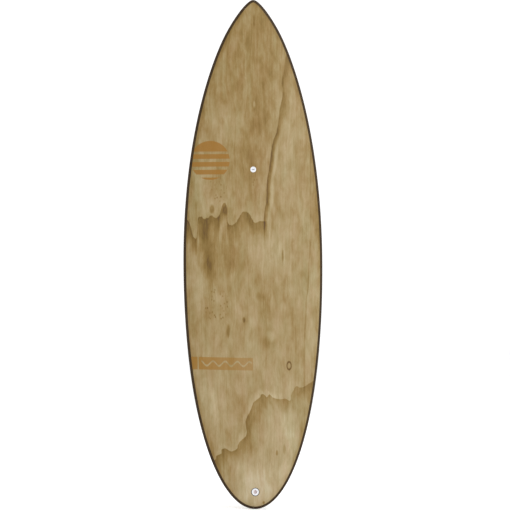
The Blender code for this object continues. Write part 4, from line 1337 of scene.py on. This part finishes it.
def make_floor():
    """Plain pale floor with a very fine tooth."""
    mesh = bpy.data.meshes.new("floor")
    half = FLOOR_SIZE / 2
    corners = [(-half, -half, 0), (half, -half, 0), (half, half, 0), (-half, half, 0)]
    mesh.from_pydata(corners, [], [(0, 1, 2, 3)])
    g = Graph("studio_floor")
    tones = [(place, (shade, shade, shade, 1.0)) for place, shade in enumerate(FLOOR_SHADES)]
    shade = g.ramp(g.blend(0.5, g.noise(g.place, scale=3.0), 0.3), tones)
    mesh.materials.append(g.finish(shade, 0.9))
    new_object("floor", mesh)


def make_lights():
    """White surroundings with a soft key light in front and a soft light behind."""
    world = bpy.data.worlds.new("studio")
    world.use_nodes = True
    background = world.node_tree.nodes["Background"]
    background.inputs["Color"].default_value = (1.0, 1.0, 1.0, 1.0)
    background.inputs["Strength"].default_value = WORLD_STRENGTH
    bpy.context.scene.world = world
    for name, place, size, power in LIGHTS:
        lamp = bpy.data.lights.new(name, "AREA")
        lamp.shape = "DISK"
        lamp.size = size
        lamp.energy = power
        made = new_object(name, lamp)
        made.location = place
        made.rotation_euler = (AIM - Vector(place)).to_track_quat("-Z", "Y").to_euler()


def make_camera():
    """Long-lens camera, level with the middle of the board."""
    lens = bpy.data.cameras.new("camera")
    lens.sensor_width = SENSOR
    lens.lens = SENSOR * CAMERA_DISTANCE / VIEW_HEIGHT
    lens.clip_end = CLIP_END
    camera = new_object("camera", lens)
    away = Vector((math.sin(CAMERA_AZIMUTH), -math.cos(CAMERA_AZIMUTH), 0.0))
    turn = (-away).to_track_quat("-Z", "Y").to_matrix().to_4x4()
    turn = turn @ Matrix.Rotation(CAMERA_ROLL, 4, "Z")
    camera.matrix_world = Matrix.Translation(AIM + away * CAMERA_DISTANCE) @ turn
    bpy.context.scene.camera = camera


HIDDEN_NODES = {
    "balsa": ("rail_strip_left", "rail_strip_right", "tail_block", "nose_block"),
    "foam": ("foam_core",),
    "dense_foam": ("fin_insert_centre", "fin_insert_left", "fin_insert_right"),
}


def dress_hidden_nodes(nodes, looks):
    """Materials for the CAD nodes that stay as they are, inside the board."""
    for look, names in HIDDEN_NODES.items():
        for slot in (slot for name in names for slot in nodes[name].material_slots):
            slot.material = looks[look]


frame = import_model()
bpy.context.scene.view_settings.view_transform = "Standard"
make_camera()
make_lights()
make_floor()
looks = make_looks()
leash_frame = surface_frame(deck_height, 1.0, 0.0, LEASH_STATION)
vent_frame = surface_frame(deck_height, 1.0, 0.0, VENT_STATION)
fins = fin_frames()
make_skins_and_rails(looks, leash_frame, vent_frame, fins)
make_leash_plug(looks, leash_frame)
make_vent_plug(looks, vent_frame)
for fin_word, fin_side, fin_frame in fins:
    make_fin(looks, fin_word, fin_side, fin_frame)
    make_fin_box(looks, fin_word, fin_side, fin_frame)
dress_hidden_nodes(frame["nodes"], looks)
